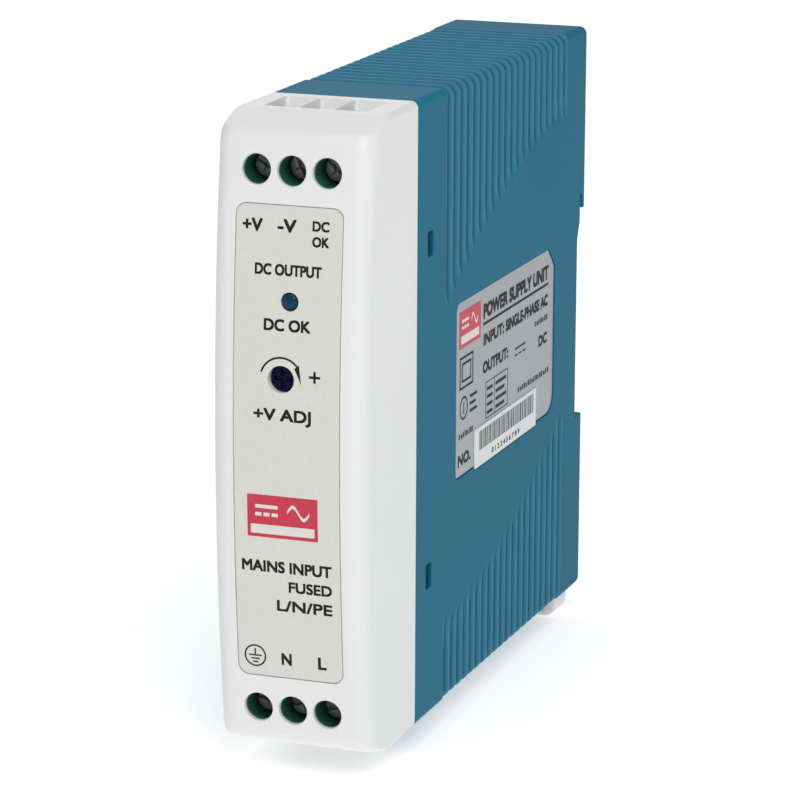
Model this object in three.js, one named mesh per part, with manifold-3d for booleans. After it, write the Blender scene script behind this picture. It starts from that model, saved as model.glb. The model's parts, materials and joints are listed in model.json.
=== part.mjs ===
// DIN-rail power supply: a slim plastic case that hooks onto a 35 mm top-hat rail, with screw terminals at
// the top and bottom of its white front cover and a switched-mode converter inside its blue rear housing.
//
// Lengths are in millimetres.  The pieces are drawn in the case's own frame: x to the right seen from the
// front, y from the front towards the rail, z up from the bottom of the case.  The exported group moves that
// frame, so that its origin is the middle of the rail on the plane where the rail's flanges rest.

import * as THREE from 'three';
import { mergeVertices } from 'three/addons/utils/BufferGeometryUtils.js';
import Module from 'manifold-3d';

const wasm = await Module();
wasm.setup();

// ---------- driving dimensions ----------

const CASE_HEIGHT = 90;
const CASE_DEPTH = 100;
const COVER_WIDTH = 22.5;            // at the front face; the cover narrows to the housing's width
const HOUSING_WIDTH = 22;
const COVER_DEPTH = 21.7;            // from the front face to the seam between cover and housing
const WALL = 1.5;
const FRONT_WALL = 1.8;
const SEAM_GAP = 0.05;
const EDGE_RADIUS = 1;               // long edges of the case
const REAR_CORNER_RADIUS = 1.4;
const FRONT_EDGE_RADIUS = 2.5;       // upright edges of the cover
const BOW_RADIUS = 337;              // the front face is bowed outwards
// slopes above and below the front face
const CHAMFER = { depth: 6.4, drop: 2.3, blend: 1.4 };

// 35 mm rail: its flanges are 1 mm thick
const RAIL_HEIGHT = 35;
const RAIL_CENTRE_Z = 45.9;
const RAIL_SEAT_Y = 97.4;
const RAIL_PLAY = 0.3;
const RECESS_FLOOR_Y = 96.2;
const HOOK_SLOT_WIDTH = 1.2;
const HOOK_LENGTH = 2.3;             // how far the hook reaches down over the rail's flange

const GROOVE = {
    count: 20, first: 34.9, pitch: 2.82, width: 1.2, depth: 0.45, reach: 59, rise: 18.2, bend: 1.7,
};

const LABEL = { width: 15.3, bottom: 12.1, top: 78.2, radius: 1.5, thickness: 0.2, recess: 0.3 };
const SIDE_LABEL = { front: 38.8, rear: 84.7, bottom: 32.1, top: 57.9, thickness: 0.2 };
const STICKER = { front: 47.2, rear: 76.1, bottom: 31.6, top: 37.5, thickness: 0.14 };
const SIDE_RECESS = 0.42;

const POLE_PITCH = 5.08;
const POLES = [-1, 0, 1];
const SCREW_RISE = 37.8;             // from mid-height of the case to a row of terminal screws
const SCREW_HOLE_RADIUS = 2.08;
// thinned wall around a row of screw holes
const POCKET = { halfWidth: 8.2, halfHeight: 2.9, wall: 0.8 };
const LED = { x: 0.3, z: 65.3, radius: 1.2 };
const TRIMMER = { x: -0.8, z: 54.6, holeRadius: 1.95 };

const SNAPS = [
    { front: 26, rear: 28.4, bottom: 67.3, top: 70.9 },
    { front: 26, rear: 28.4, bottom: 19.1, top: 22.7 },
];

const LATCH = { halfWidth: 9.3, front: 95.2, rear: 98.4 };
const FOOT = { front: 92.3, bottom: -4, radius: 1.8, slotBottom: -3, slotTop: -1.4 };
const SPRING = { coils: 7, meanRadius: 1.25, wireRadius: 0.22, bottom: 9.85, top: 21.6, y: 96.8 };

const BOARD_THICKNESS = 1.6;
const FRONT_BOARD_Y = 19.7;
const MAIN_BOARD_X = -9;
const BOARD_FACE = MAIN_BOARD_X + BOARD_THICKNESS;

// ---------- materials ----------

function material(color, roughness, metalness = 0) {
    return new THREE.MeshStandardMaterial({ color, roughness, metalness });
}

const BLUE = material(0x3a718f, 0.55);
const WHITE = material(0xe4e5e6, 0.5);
const LABEL_GREY = material(0xd3d5cd, 0.6);
const SILVER = material(0xa5acb0, 0.4);
const PAPER = material(0xdcdee0, 0.7);
const NATURAL = material(0xebe6e8, 0.45);
const GREEN = material(0x1e5a46, 0.5);
const BOARD = material(0x2e6b3d, 0.6);
const STEEL = material(0x6a6a6c, 0.35, 1);
const TINNED = material(0xc9ccce, 0.3, 1);
const COPPER = material(0xb06a35, 0.35, 1);
const ALUMINIUM = material(0xb9bcc0, 0.4, 1);
const FERRITE = material(0x3a3a3c, 0.7);
const BLACK = material(0x1a1a1c, 0.5);
const NAVY = material(0x0a0a3c, 0.4);
const TEAL = material(0x14505a, 0.2);
const YELLOW = material(0xd8b13a, 0.5);
const CERAMIC_BLUE = material(0x2c5c9a, 0.5);

// ---------- solids ----------

const AXIS = {
    x: new THREE.Vector3(1, 0, 0),
    y: new THREE.Vector3(0, 1, 0),
    z: new THREE.Vector3(0, 0, 1),
};

function solid(geometry) {
    const bare = geometry.clone();
    bare.deleteAttribute('normal');
    bare.deleteAttribute('uv');
    const merged = mergeVertices(bare, 1e-4);
    return new wasm.Manifold(new wasm.Mesh({
        numProp: 3,
        vertProperties: new Float32Array(merged.attributes.position.array),
        triVerts: new Uint32Array(merged.index.array),
    }));
}

function geometryOf(shape) {
    const mesh = shape.getMesh();
    const geometry = new THREE.BufferGeometry();
    geometry.setAttribute('position', new THREE.BufferAttribute(new Float32Array(mesh.vertProperties), 3));
    geometry.setIndex(new THREE.BufferAttribute(new Uint32Array(mesh.triVerts), 1));
    geometry.computeVertexNormals();
    return geometry;
}

function extrude(shape, length, curveSegments = 6) {
    return new THREE.ExtrudeGeometry(shape, { depth: length, bevelEnabled: false, curveSegments });
}

// A (y, z) outline pushed along x.
function alongX(shape, x0, x1, segments) {
    const turn = new THREE.Matrix4().makeBasis(AXIS.y, AXIS.z, AXIS.x);
    return solid(extrude(shape, x1 - x0, segments).applyMatrix4(turn).translate(x0, 0, 0));
}

// An (x, z) outline pushed along y.
function alongY(shape, y0, y1, segments) {
    const turn = new THREE.Matrix4().makeBasis(AXIS.x, AXIS.z, AXIS.y.clone().negate());
    return solid(extrude(shape, y1 - y0, segments).applyMatrix4(turn).translate(0, y1, 0));
}

function block(x0, x1, y0, y1, z0, z1) {
    const geometry = new THREE.BoxGeometry(x1 - x0, y1 - y0, z1 - z0);
    return solid(geometry.translate((x0 + x1) / 2, (y0 + y1) / 2, (z0 + z1) / 2));
}

// A round rod whose axis runs along y.
function rodY(x, z, radius, y0, y1, sides = 20) {
    const geometry = new THREE.CylinderGeometry(radius, radius, y1 - y0, sides);
    return solid(geometry.translate(x, (y0 + y1) / 2, z));
}

// A round rod that stands on the main board, along x.
function rodX(y, z, radius, x0, x1, sides = 20) {
    const geometry = new THREE.CylinderGeometry(radius, radius, x1 - x0, sides);
    return solid(geometry.rotateZ(Math.PI / 2).translate((x0 + x1) / 2, y, z));
}

function polygon(points) {
    return new THREE.Shape(points.map(([a, b]) => new THREE.Vector2(a, b)));
}

function roundedRectangle(a0, a1, b0, b1, r) {
    const shape = new THREE.Shape();
    shape.moveTo(a0 + r, b0);
    shape.lineTo(a1 - r, b0);
    shape.absarc(a1 - r, b0 + r, r, -Math.PI / 2, 0);
    shape.lineTo(a1, b1 - r);
    shape.absarc(a1 - r, b1 - r, r, 0, Math.PI / 2);
    shape.lineTo(a0 + r, b1);
    shape.absarc(a0 + r, b1 - r, r, Math.PI / 2, Math.PI);
    shape.lineTo(a0, b0 + r);
    shape.absarc(a0 + r, b0 + r, r, Math.PI, 1.5 * Math.PI);
    return shape;
}

function union(...shapes) {
    return shapes.reduce((sum, shape) => sum.add(shape));
}

// ---------- the assembly ----------

const powerSupply = new THREE.Group();
const caseFrame = new THREE.Group();
caseFrame.position.set(0, -RAIL_SEAT_Y, -RAIL_CENTRE_Z);
powerSupply.add(caseFrame);

function place(name, shape, look) {
    const geometry = shape.isBufferGeometry ? shape : geometryOf(shape);
    const mesh = new THREE.Mesh(geometry, look);
    mesh.name = name;
    caseFrame.add(mesh);
}

// ---------- front cover ----------

const MID_HEIGHT = CASE_HEIGHT / 2;

// How far the bowed front face lies behind its foremost line, at a height.
function frontDepth(z) {
    const offset = z - MID_HEIGHT;
    return BOW_RADIUS - Math.sqrt(BOW_RADIUS ** 2 - offset ** 2);
}

// Front edge of the cover seen from the side, from the bottom up, set in by a wall's thickness.
function coverFrontLine(inset, frontInset) {
    const corner = CASE_HEIGHT - CHAMFER.drop;
    const cornerDepth = frontDepth(corner) + frontInset;
    const line = new THREE.Path();
    line.moveTo(frontDepth(MID_HEIGHT) + frontInset, MID_HEIGHT);
    const steps = 6;
    const bowEnd = corner - CHAMFER.blend - inset;
    for (let i = 1; i <= steps; i += 1) {
        const z = MID_HEIGHT + (bowEnd - MID_HEIGHT) * i / steps;
        line.lineTo(frontDepth(z) + frontInset, z);
    }
    const blendRise = CHAMFER.drop / CHAMFER.depth * CHAMFER.blend;
    line.quadraticCurveTo(
        cornerDepth, corner - inset,
        cornerDepth + CHAMFER.blend, corner + blendRise - inset,
    );
    line.lineTo(cornerDepth + CHAMFER.depth, CASE_HEIGHT - inset);
    const upper = line.getPoints(4);
    const lower = upper.slice(1).map((point) => new THREE.Vector2(point.x, CASE_HEIGHT - point.y)).reverse();
    return lower.concat(upper);
}

// Level slices of the cover: straight back, flared sides, rounded upright front edges.
function coverBody(inset, frontInset, back) {
    const rounding = Math.max(FRONT_EDGE_RADIUS - inset, 0.8);
    const arcSteps = 5;
    const rings = coverFrontLine(inset, frontInset).map((point) => {
        const front = point.x;
        const rearHalf = HOUSING_WIDTH / 2 - inset;
        const frontHalf = COVER_WIDTH / 2 - inset;
        const ring = [new THREE.Vector3(rearHalf, back, point.y)];
        for (let i = 0; i <= arcSteps; i += 1) {
            const angle = (Math.PI / 2) * i / arcSteps;
            const x = frontHalf - rounding + rounding * Math.cos(angle);
            ring.push(new THREE.Vector3(x, front + rounding - rounding * Math.sin(angle), point.y));
        }
        const left = ring.map((corner) => new THREE.Vector3(-corner.x, corner.y, corner.z)).reverse();
        return ring.concat(left);
    });
    return solid(loft(rings));
}

// A closed skin through rings of equal count, capped flat at both ends.
function loft(rings) {
    const count = rings[0].length;
    const positions = rings.flat().flatMap((corner) => corner.toArray());
    const index = [];
    for (let k = 0; k + 1 < rings.length; k += 1) {
        for (let i = 0; i < count; i += 1) {
            const a = k * count + i;
            const b = k * count + (i + 1) % count;
            index.push(a, a + count, b, b, a + count, b + count);
        }
    }
    const last = (rings.length - 1) * count;
    for (let i = 1; i + 1 < count; i += 1) {
        index.push(0, i, i + 1);
        index.push(last, last + i + 1, last + i);
    }
    const geometry = new THREE.BufferGeometry();
    geometry.setAttribute('position', new THREE.Float32BufferAttribute(positions, 3));
    geometry.setIndex(index);
    return geometry;
}

// The front face's bow as a curved plate between two depths below its surface.
function bowPlate(near, far, x0, x1, z0, z1) {
    const steps = 12;
    const outline = [];
    for (let i = 0; i <= steps; i += 1) {
        const z = z0 + (z1 - z0) * i / steps;
        outline.push([frontDepth(z) + near, z]);
    }
    for (let i = steps; i >= 0; i -= 1) {
        const z = z0 + (z1 - z0) * i / steps;
        outline.push([frontDepth(z) + far, z]);
    }
    return alongX(polygon(outline), x0, x1);
}

function frontHoles(y0, y1) {
    return union(
        rodY(LED.x, LED.z, LED.radius + 0.15, y0, y1),
        rodY(TRIMMER.x, TRIMMER.z, TRIMMER.holeRadius, y0, y1, 24),
    );
}

// Bowed layer that is wider and taller than the label.
function labelZone(near, far) {
    const half = LABEL.width / 2 + 1.35;
    return bowPlate(near, far, -half, half, LABEL.bottom - 7.1, LABEL.top + 6.8);
}

function labelOutline(margin, y0, y1) {
    const half = LABEL.width / 2 + margin;
    const outline = roundedRectangle(-half, half, LABEL.bottom - margin, LABEL.top + margin, LABEL.radius);
    return alongY(outline, y0, y1, 4);
}

// Space behind the front wall around the top row of screw holes, from a depth below the bowed face.
function screwPocket(depth, margin) {
    const half = POCKET.halfWidth - margin;
    const rise = POCKET.halfHeight - margin;
    const middle = MID_HEIGHT + SCREW_RISE;
    return bowPlate(depth, FRONT_WALL + 1, -half, half, middle - rise, middle + rise);
}

// Funnel through the top wall, where a wire goes down into its terminal.
const ENTRY = { halfWidth: 2.15, front: 10.9, throatFront: 13.2, rear: 19.2, throatRear: 18.2 };

function wireFunnel(x) {
    const outline = polygon([
        [ENTRY.front, CASE_HEIGHT + 0.1],
        [ENTRY.throatFront, CASE_HEIGHT - WALL - 0.6],
        [ENTRY.throatRear, CASE_HEIGHT - WALL - 0.6],
        [ENTRY.rear, CASE_HEIGHT + 0.1],
    ]);
    return alongX(outline, x - ENTRY.halfWidth, x + ENTRY.halfWidth);
}

// Tongue with a catch that holds the cover in a window of the housing.
function snapTongue(snap) {
    const inner = HOUSING_WIDTH / 2 - WALL;
    const [low, high] = [snap.bottom + 0.5, snap.top - 0.5];
    const tongueEnd = snap.rear - 0.4;
    return union(
        block(inner - 1.4, inner + 0.6, COVER_DEPTH - 5, COVER_DEPTH - SEAM_GAP, low, high),
        block(inner - 1.4, inner - 0.15, COVER_DEPTH - 1, tongueEnd, low, high),
        block(inner - 0.6, inner + 0.5, snap.front + 0.3, snap.front + 1.3, low, high),
    );
}

function mirrored(shape) {
    return shape.mirror([1, 0, 0]);
}

function turnedOver(shape) {
    return shape.mirror([0, 0, 1]).translate([0, 0, CASE_HEIGHT]);
}

function frontCover() {
    const back = COVER_DEPTH - SEAM_GAP;
    const halfFront = COVER_WIDTH / 2;
    const edges = roundedRectangle(-halfFront, halfFront, 0, CASE_HEIGHT, EDGE_RADIUS);
    let cover = coverBody(0, 0, back).intersect(alongY(edges, -1, back + 1, 4));
    cover = cover.subtract(coverBody(WALL, FRONT_WALL, back + 1));
    cover = cover.subtract(labelZone(-1, LABEL.recess).intersect(labelOutline(0.15, -2, 6)));
    cover = cover.subtract(frontHoles(-1, 8));
    for (const pole of POLES) {
        const x = pole * POLE_PITCH;
        for (const side of [1, -1]) {
            cover = cover.subtract(rodY(x, MID_HEIGHT + side * SCREW_RISE, SCREW_HOLE_RADIUS, -1, 8, 24));
        }
        cover = cover.subtract(wireFunnel(x)).subtract(turnedOver(wireFunnel(x)));
    }
    cover = cover.subtract(screwPocket(POCKET.wall, 0)).subtract(turnedOver(screwPocket(POCKET.wall, 0)));
    for (const snap of SNAPS) {
        cover = cover.add(snapTongue(snap)).add(mirrored(snapTongue(snap)));
    }
    return cover;
}

place('front_cover', frontCover(), WHITE);
place(
    'front_label',
    labelZone(LABEL.recess - 0.05 - LABEL.thickness, LABEL.recess - 0.05)
        .intersect(labelOutline(0, -2, 6))
        .subtract(frontHoles(-1, 8)),
    LABEL_GREY,
);

// ---------- rear housing ----------

const RAIL_TOP = RAIL_CENTRE_Z + RAIL_HEIGHT / 2;
const RAIL_BOTTOM = RAIL_CENTRE_Z - RAIL_HEIGHT / 2;
const STEP_Z = RAIL_BOTTOM - RAIL_PLAY;
const SLOT_TOP_Z = RAIL_TOP + RAIL_PLAY;
const HOOK_TIP_Z = RAIL_TOP - HOOK_LENGTH + RAIL_PLAY;
const CHANNEL = { halfWidth: 9.5, mouthHalfWidth: 7.7, floor: 95, lip: 98.6 };
const CAVITY_REAR = CHANNEL.floor - WALL;
const SEAT_PAD_BOTTOM = RAIL_TOP - 3.9;
const RAMP_DROP = 2.7;

// Side view of the housing: recess for the rail, hook above it, rounded rear corners.
function housingOutline() {
    const r = REAR_CORNER_RADIUS;
    const slotRear = RAIL_SEAT_Y + HOOK_SLOT_WIDTH;
    const tip = (CASE_DEPTH - slotRear) / 2;
    const shape = new THREE.Shape();
    shape.moveTo(COVER_DEPTH, 0);
    shape.lineTo(CASE_DEPTH - r, 0);
    shape.absarc(CASE_DEPTH - r, r, r, -Math.PI / 2, 0);
    shape.lineTo(CASE_DEPTH, STEP_Z);
    shape.lineTo(RECESS_FLOOR_Y, STEP_Z);
    shape.lineTo(RECESS_FLOOR_Y, SEAT_PAD_BOTTOM - RAMP_DROP);
    shape.lineTo(RAIL_SEAT_Y, SEAT_PAD_BOTTOM);
    shape.lineTo(RAIL_SEAT_Y, SLOT_TOP_Z);
    shape.lineTo(slotRear, SLOT_TOP_Z);
    shape.lineTo(slotRear, HOOK_TIP_Z + tip);
    shape.absarc(slotRear + tip, HOOK_TIP_Z + tip, tip, Math.PI, 2 * Math.PI);
    shape.lineTo(CASE_DEPTH, CASE_HEIGHT - r);
    shape.absarc(CASE_DEPTH - r, CASE_HEIGHT - r, r, 0, Math.PI / 2);
    shape.lineTo(COVER_DEPTH, CASE_HEIGHT);
    return shape;
}

// Height at which a groove of the upper set runs out on the side walls; the reach shortens towards the rear.
function grooveEnd(k) {
    const along = k / (GROOVE.count - 1);
    return GROOVE.reach + GROOVE.rise * (1 - (1 - along) ** GROOVE.bend);
}

// One groove around the top of the housing, down both side walls to its run-out.
function grooveCutter(y, end) {
    const half = HOUSING_WIDTH / 2 - GROOVE.depth;
    const outer = HOUSING_WIDTH / 2 + 1;
    const crown = CASE_HEIGHT - GROOVE.depth;
    const r = EDGE_RADIUS;
    const shape = new THREE.Shape();
    shape.moveTo(outer, end);
    shape.lineTo(outer, CASE_HEIGHT + 1);
    shape.lineTo(-outer, CASE_HEIGHT + 1);
    shape.lineTo(-outer, end);
    shape.lineTo(-half - GROOVE.depth, end);
    shape.lineTo(-half, end + 1);
    shape.lineTo(-half, crown - r);
    shape.quadraticCurveTo(-half, crown, -half + r, crown);
    shape.lineTo(half - r, crown);
    shape.quadraticCurveTo(half, crown, half, crown - r);
    shape.lineTo(half, end + 1);
    shape.lineTo(half + GROOVE.depth, end);
    return alongY(shape, y - GROOVE.width / 2, y + GROOVE.width / 2, 2);
}

// Upper set, and the same set turned half round about the middle of the side for the bottom.
function allGrooves() {
    const cutters = [];
    for (let k = 0; k < GROOVE.count; k += 1) {
        const y = GROOVE.first + GROOVE.pitch * k;
        cutters.push(grooveCutter(y, grooveEnd(k)));
        cutters.push(turnedOver(grooveCutter(y, grooveEnd(GROOVE.count - 1 - k))));
    }
    return union(...cutters);
}

function sideLabelOutline(margin) {
    const { front, rear, bottom, top } = SIDE_LABEL;
    const [f, b, d, t] = [front - margin, rear + margin, bottom - margin, top + margin];
    const shape = new THREE.Shape();
    shape.moveTo(f + 1.2, d);
    shape.lineTo(b - 3, d);
    shape.absarc(b - 3, d + 3, 3, -Math.PI / 2, 0);
    shape.lineTo(b, t - 3);
    shape.lineTo(b - 3, t);
    shape.lineTo(f + 1.5, t);
    shape.absarc(f + 1.5, t - 1.5, 1.5, Math.PI / 2, Math.PI);
    shape.lineTo(f, d + 1.2);
    return shape;
}

function sideRecess() {
    const outer = HOUSING_WIDTH / 2;
    const { front, rear, bottom, top } = STICKER;
    const margin = 0.15;
    return union(
        alongX(sideLabelOutline(margin), outer - SIDE_RECESS, outer + 1, 4),
        block(outer - SIDE_RECESS, outer + 1, front - margin, rear + margin, bottom - margin, top),
    );
}

function rearHousing() {
    const half = HOUSING_WIDTH / 2;
    const inner = half - WALL;
    const section = roundedRectangle(-half, half, 0, CASE_HEIGHT, EDGE_RADIUS);
    let housing = alongX(housingOutline(), -half - 1, half + 1, 4).intersect(alongY(section, 10, 110, 4));
    housing = housing.subtract(block(-inner, inner, 0, CAVITY_REAR, WALL, CASE_HEIGHT - WALL));
    housing = housing.subtract(
        block(-inner, inner, 90, CASE_DEPTH - WALL, SLOT_TOP_Z + WALL, CASE_HEIGHT - WALL),
    );
    housing = housing.subtract(allGrooves()).subtract(sideRecess());
    for (const snap of SNAPS) {
        housing = housing.subtract(block(-half - 1, half + 1, snap.front, snap.rear, snap.bottom, snap.top));
    }
    const { halfWidth, mouthHalfWidth, floor, lip } = CHANNEL;
    housing = housing.subtract(block(-halfWidth, halfWidth, floor, lip, -1, STEP_Z + 0.01));
    housing = housing.subtract(
        block(-mouthHalfWidth, mouthHalfWidth, floor, CASE_DEPTH + 1, -1, STEP_Z + 0.01),
    );
    return housing.add(springLedge());
}

// Ledge on the channel's floor that carries the latch spring.
const LEDGE = { halfWidth: 2.2, bottom: 8.4, top: 9.6 };

function springLedge() {
    const { halfWidth, bottom, top } = LEDGE;
    return block(-halfWidth, halfWidth, CHANNEL.floor - 0.5, LATCH.rear - 0.2, bottom, top);
}

place('rear_housing', rearHousing(), BLUE);

const LABEL_BACK = HOUSING_WIDTH / 2 - SIDE_RECESS + 0.03;
const STICKER_BACK = LABEL_BACK + SIDE_LABEL.thickness + 0.02;
place('rating_label', alongX(sideLabelOutline(0), LABEL_BACK, LABEL_BACK + SIDE_LABEL.thickness, 4), SILVER);
const STICKER_FACE = STICKER_BACK + STICKER.thickness;
place(
    'barcode_label',
    block(STICKER_BACK, STICKER_FACE, STICKER.front, STICKER.rear, STICKER.bottom, STICKER.top),
    PAPER,
);

// ---------- rail latch and its spring ----------

const WINDOW = { halfWidth: 2.6, bottom: 8, top: 21.9 };

function latchFoot() {
    const { halfWidth, rear } = LATCH;
    const r = FOOT.radius;
    const shape = new THREE.Shape();
    shape.moveTo(-halfWidth, -0.4);
    shape.lineTo(-halfWidth, FOOT.bottom + r);
    shape.absarc(-halfWidth + r, FOOT.bottom + r, r, Math.PI, 1.5 * Math.PI);
    shape.lineTo(halfWidth - r, FOOT.bottom);
    shape.absarc(halfWidth - r, FOOT.bottom + r, r, 1.5 * Math.PI, 2 * Math.PI);
    shape.lineTo(halfWidth, -0.4);
    return alongY(shape, FOOT.front, rear, 4);
}

// Nose that reaches behind the rail's lower flange, sloped so that the rail pushes it down.
function latchNose() {
    const front = RAIL_SEAT_Y + 1.15;
    const rear = CASE_DEPTH - 0.1;
    const root = LATCH.rear - 0.4;
    return alongX(polygon([
        [root, 23.5],
        [LATCH.rear + 0.2, 23.5],
        [rear, 25.2],
        [rear, RAIL_BOTTOM - 0.4],
        [front + 0.2, RAIL_BOTTOM + 1.6],
        [front, RAIL_BOTTOM + 1.6],
        [front, STEP_Z - 0.5],
        [root, STEP_Z - 0.5],
    ]), -CHANNEL.mouthHalfWidth + 0.3, CHANNEL.mouthHalfWidth - 0.3);
}

function railLatch() {
    const { halfWidth, front, rear } = LATCH;
    const plate = block(-halfWidth, halfWidth, front, rear, -1, STEP_Z - 0.5)
        .subtract(block(-WINDOW.halfWidth, WINDOW.halfWidth, front - 1, rear + 1, WINDOW.bottom, WINDOW.top));
    const slot = block(-7.4, 7.4, FOOT.front - 1, FOOT.front + 3, FOOT.slotBottom, FOOT.slotTop);
    return union(plate, latchFoot(), latchNose()).subtract(slot);
}

place('rail_latch', railLatch(), NATURAL);

class Helix extends THREE.Curve {
    constructor(radius, bottom, top, turns) {
        super();
        Object.assign(this, { radius, bottom, top, turns });
    }

    getPoint(t, target = new THREE.Vector3()) {
        const angle = 2 * Math.PI * this.turns * t;
        const z = this.bottom + (this.top - this.bottom) * t;
        return target.set(this.radius * Math.cos(angle), this.radius * Math.sin(angle), z);
    }
}

function coil(radius, bottom, top, turns, wireRadius, stepsPerTurn = 9) {
    const section = new THREE.Shape();
    section.absarc(0, 0, wireRadius, 0, 2 * Math.PI);
    return new THREE.ExtrudeGeometry(section, {
        extrudePath: new Helix(radius, bottom, top, turns),
        steps: Math.round(turns * stepsPerTurn),
        curveSegments: 3,
        bevelEnabled: false,
    });
}

function latchSpring() {
    const { coils, meanRadius, wireRadius, bottom, top, y } = SPRING;
    return coil(meanRadius, bottom + wireRadius, top - wireRadius, coils, wireRadius).translate(0, y, 0);
}

place('latch_spring', solid(latchSpring()), STEEL);

// ---------- screw terminals ----------

// Drawn for the top row; the bottom row is the same turned over.
const TERMINAL = {
    front: 4.3, rear: 19.4, halfWidth: 8, bottom: 76.8, top: 88.2, screwZ: MID_HEIGHT + SCREW_RISE,
    slopeRear: 10.4, slopeBottom: 85, bore: 2, chamberHalf: 2.15, chamberFront: 8.5, chamberRear: 18.2,
};
const SCREW = { headRadius: 1.85, headFront: 6.3, headRear: 7.6, shankRadius: 1.4, end: 12.7 };
const CAGE = { half: 1.9, front: 11.6, rear: 17.8, wall: 1.1, side: 0.45 };
const CONTACT = { halfWidth: 1.3, front: 13, thickness: 0.6, legZ: 79.2, pinEnd: 22 };

function terminalBlock() {
    const t = TERMINAL;
    const outline = polygon([
        [t.front, t.bottom], [t.rear, t.bottom], [t.rear, t.top], [t.slopeRear, t.top],
        [t.front, t.slopeBottom],
    ]);
    let body = alongX(outline, -t.halfWidth, t.halfWidth).add(screwPocket(POCKET.wall + 0.15, 0.3));
    for (const pole of POLES) {
        const x = pole * POLE_PITCH;
        const [x0, x1] = [x - t.chamberHalf, x + t.chamberHalf];
        body = body.subtract(rodY(x, t.screwZ, t.bore, t.front - 3, t.chamberFront + 0.5, 20));
        body = body.subtract(
            block(x0, x1, t.chamberFront, t.chamberRear, t.screwZ - t.chamberHalf, t.screwZ + t.chamberHalf),
        );
        body = body.subtract(block(x0, x1, ENTRY.throatFront, t.chamberRear, t.screwZ, t.top + 1));
        const legHalf = CONTACT.halfWidth + 0.3;
        const [legFront, legBottom] = [CONTACT.front - 0.3, CONTACT.legZ - 0.3];
        body = body.subtract(block(x - legHalf, x + legHalf, legFront, t.rear + 1, legBottom, t.screwZ - 1));
    }
    return body;
}

function terminalScrew(x) {
    const s = SCREW;
    const head = rodY(x, TERMINAL.screwZ, s.headRadius, s.headFront, s.headRear, 20);
    const shank = rodY(x, TERMINAL.screwZ, s.shankRadius, s.headRear - 0.2, s.end, 14);
    const slot = block(x - 2.2, x + 2.2, s.headFront - 0.5, s.headFront + 0.8, -0.35, 0.35)
        .translate([0, 0, TERMINAL.screwZ]);
    return union(head, shank).subtract(slot);
}

// Square ring that the screw pulls towards its head; the wire lies between its rear wall and the contact.
function clampCage(x) {
    const c = CAGE;
    const z = TERMINAL.screwZ;
    return block(x - c.half, x + c.half, c.front, c.rear, z - c.half, z + c.half)
        .subtract(block(
            x - c.half + c.side, x + c.half - c.side, c.front + c.wall, c.rear - c.wall, z - 3, z + 3,
        ))
        .subtract(rodY(x, z, SCREW.shankRadius + 0.15, c.front - 1, c.front + c.wall + 1, 14));
}

// Tongue in the cage, with a leg below the cage that runs back through the front board.
function contact(x) {
    const c = CONTACT;
    const tongueTop = TERMINAL.screwZ + 1.6;
    return alongX(polygon([
        [c.front, c.legZ],
        [c.pinEnd, c.legZ],
        [c.pinEnd, c.legZ + c.thickness],
        [c.front + c.thickness, c.legZ + c.thickness],
        [c.front + c.thickness, tongueTop],
        [c.front, tongueTop],
    ]), x - c.halfWidth, x + c.halfWidth);
}

function terminalRow(blockName, firstNumber, orient) {
    place(blockName, orient(terminalBlock()), GREEN);
    POLES.forEach((pole, i) => {
        const x = pole * POLE_PITCH;
        const number = firstNumber + i;
        place(`terminal_screw_${number}`, orient(terminalScrew(x)), STEEL);
        place(`clamp_cage_${number}`, orient(clampCage(x)), TINNED);
        place(`contact_${number}`, orient(contact(x)), TINNED);
    });
}

terminalRow('terminal_block_top', 1, (shape) => shape);
terminalRow('terminal_block_bottom', 4, turnedOver);

// ---------- front board with the indicator and the voltage trimmer ----------

function frontBoard() {
    const rear = FRONT_BOARD_Y + BOARD_THICKNESS;
    let board = block(-7.9, 7.9, FRONT_BOARD_Y, rear, 2.5, CASE_HEIGHT - 2.5);
    for (const pole of POLES) {
        const x = pole * POLE_PITCH;
        const half = CONTACT.halfWidth + 0.2;
        const [low, high] = [CONTACT.legZ - 0.2, CONTACT.legZ + CONTACT.thickness + 0.2];
        const hole = block(x - half, x + half, FRONT_BOARD_Y - 1, rear + 1, low, high);
        board = board.subtract(hole).subtract(turnedOver(hole));
    }
    return board;
}

place('front_board', frontBoard(), BOARD);

function indicatorLed() {
    const surface = frontDepth(LED.z);
    const bodyRear = surface + 6.5;
    const profile = [
        [0, surface - 0.25], [0.6, surface - 0.05], [1.0, surface + 0.35], [LED.radius, surface + 0.9],
        [LED.radius, bodyRear - 1], [1.6, bodyRear - 1], [1.6, bodyRear], [0, bodyRear],
    ];
    const turned = new THREE.LatheGeometry(profile.map(([r, y]) => new THREE.Vector2(r, y)), 20);
    const lamp = solid(turned.translate(LED.x, 0, LED.z));
    const legs = [-0.6, 0.6].map((side) => {
        const x = LED.x + side;
        return block(x - 0.2, x + 0.2, bodyRear - 0.5, FRONT_BOARD_Y - 0.05, LED.z - 0.2, LED.z + 0.2);
    });
    return union(lamp, ...legs);
}

place('indicator_led', indicatorLed(), TEAL);

const TRIMMER_BODY = { half: 3.4, front: 9, rear: FRONT_BOARD_Y - 0.05, socket: 1.9 };

function trimmerBody() {
    const { half, front, rear, socket } = TRIMMER_BODY;
    const { x, z } = TRIMMER;
    return block(x - half, x + half, front, rear, z - half, z + half)
        .subtract(rodY(x, z, socket, front - 1, front + 3, 24));
}

function trimmerRotor() {
    const { x, z } = TRIMMER;
    const front = frontDepth(z) + 0.5;
    const across = 1.3;
    const slotHalf = 0.3;
    return rodY(x, z, TRIMMER.holeRadius - 0.2, front, TRIMMER_BODY.front + 2.8, 24)
        .subtract(block(x - across, x + across, front - 1, front + 0.8, z - slotHalf, z + slotHalf))
        .subtract(block(x - slotHalf, x + slotHalf, front - 1, front + 0.8, z - across, z + across));
}

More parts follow.
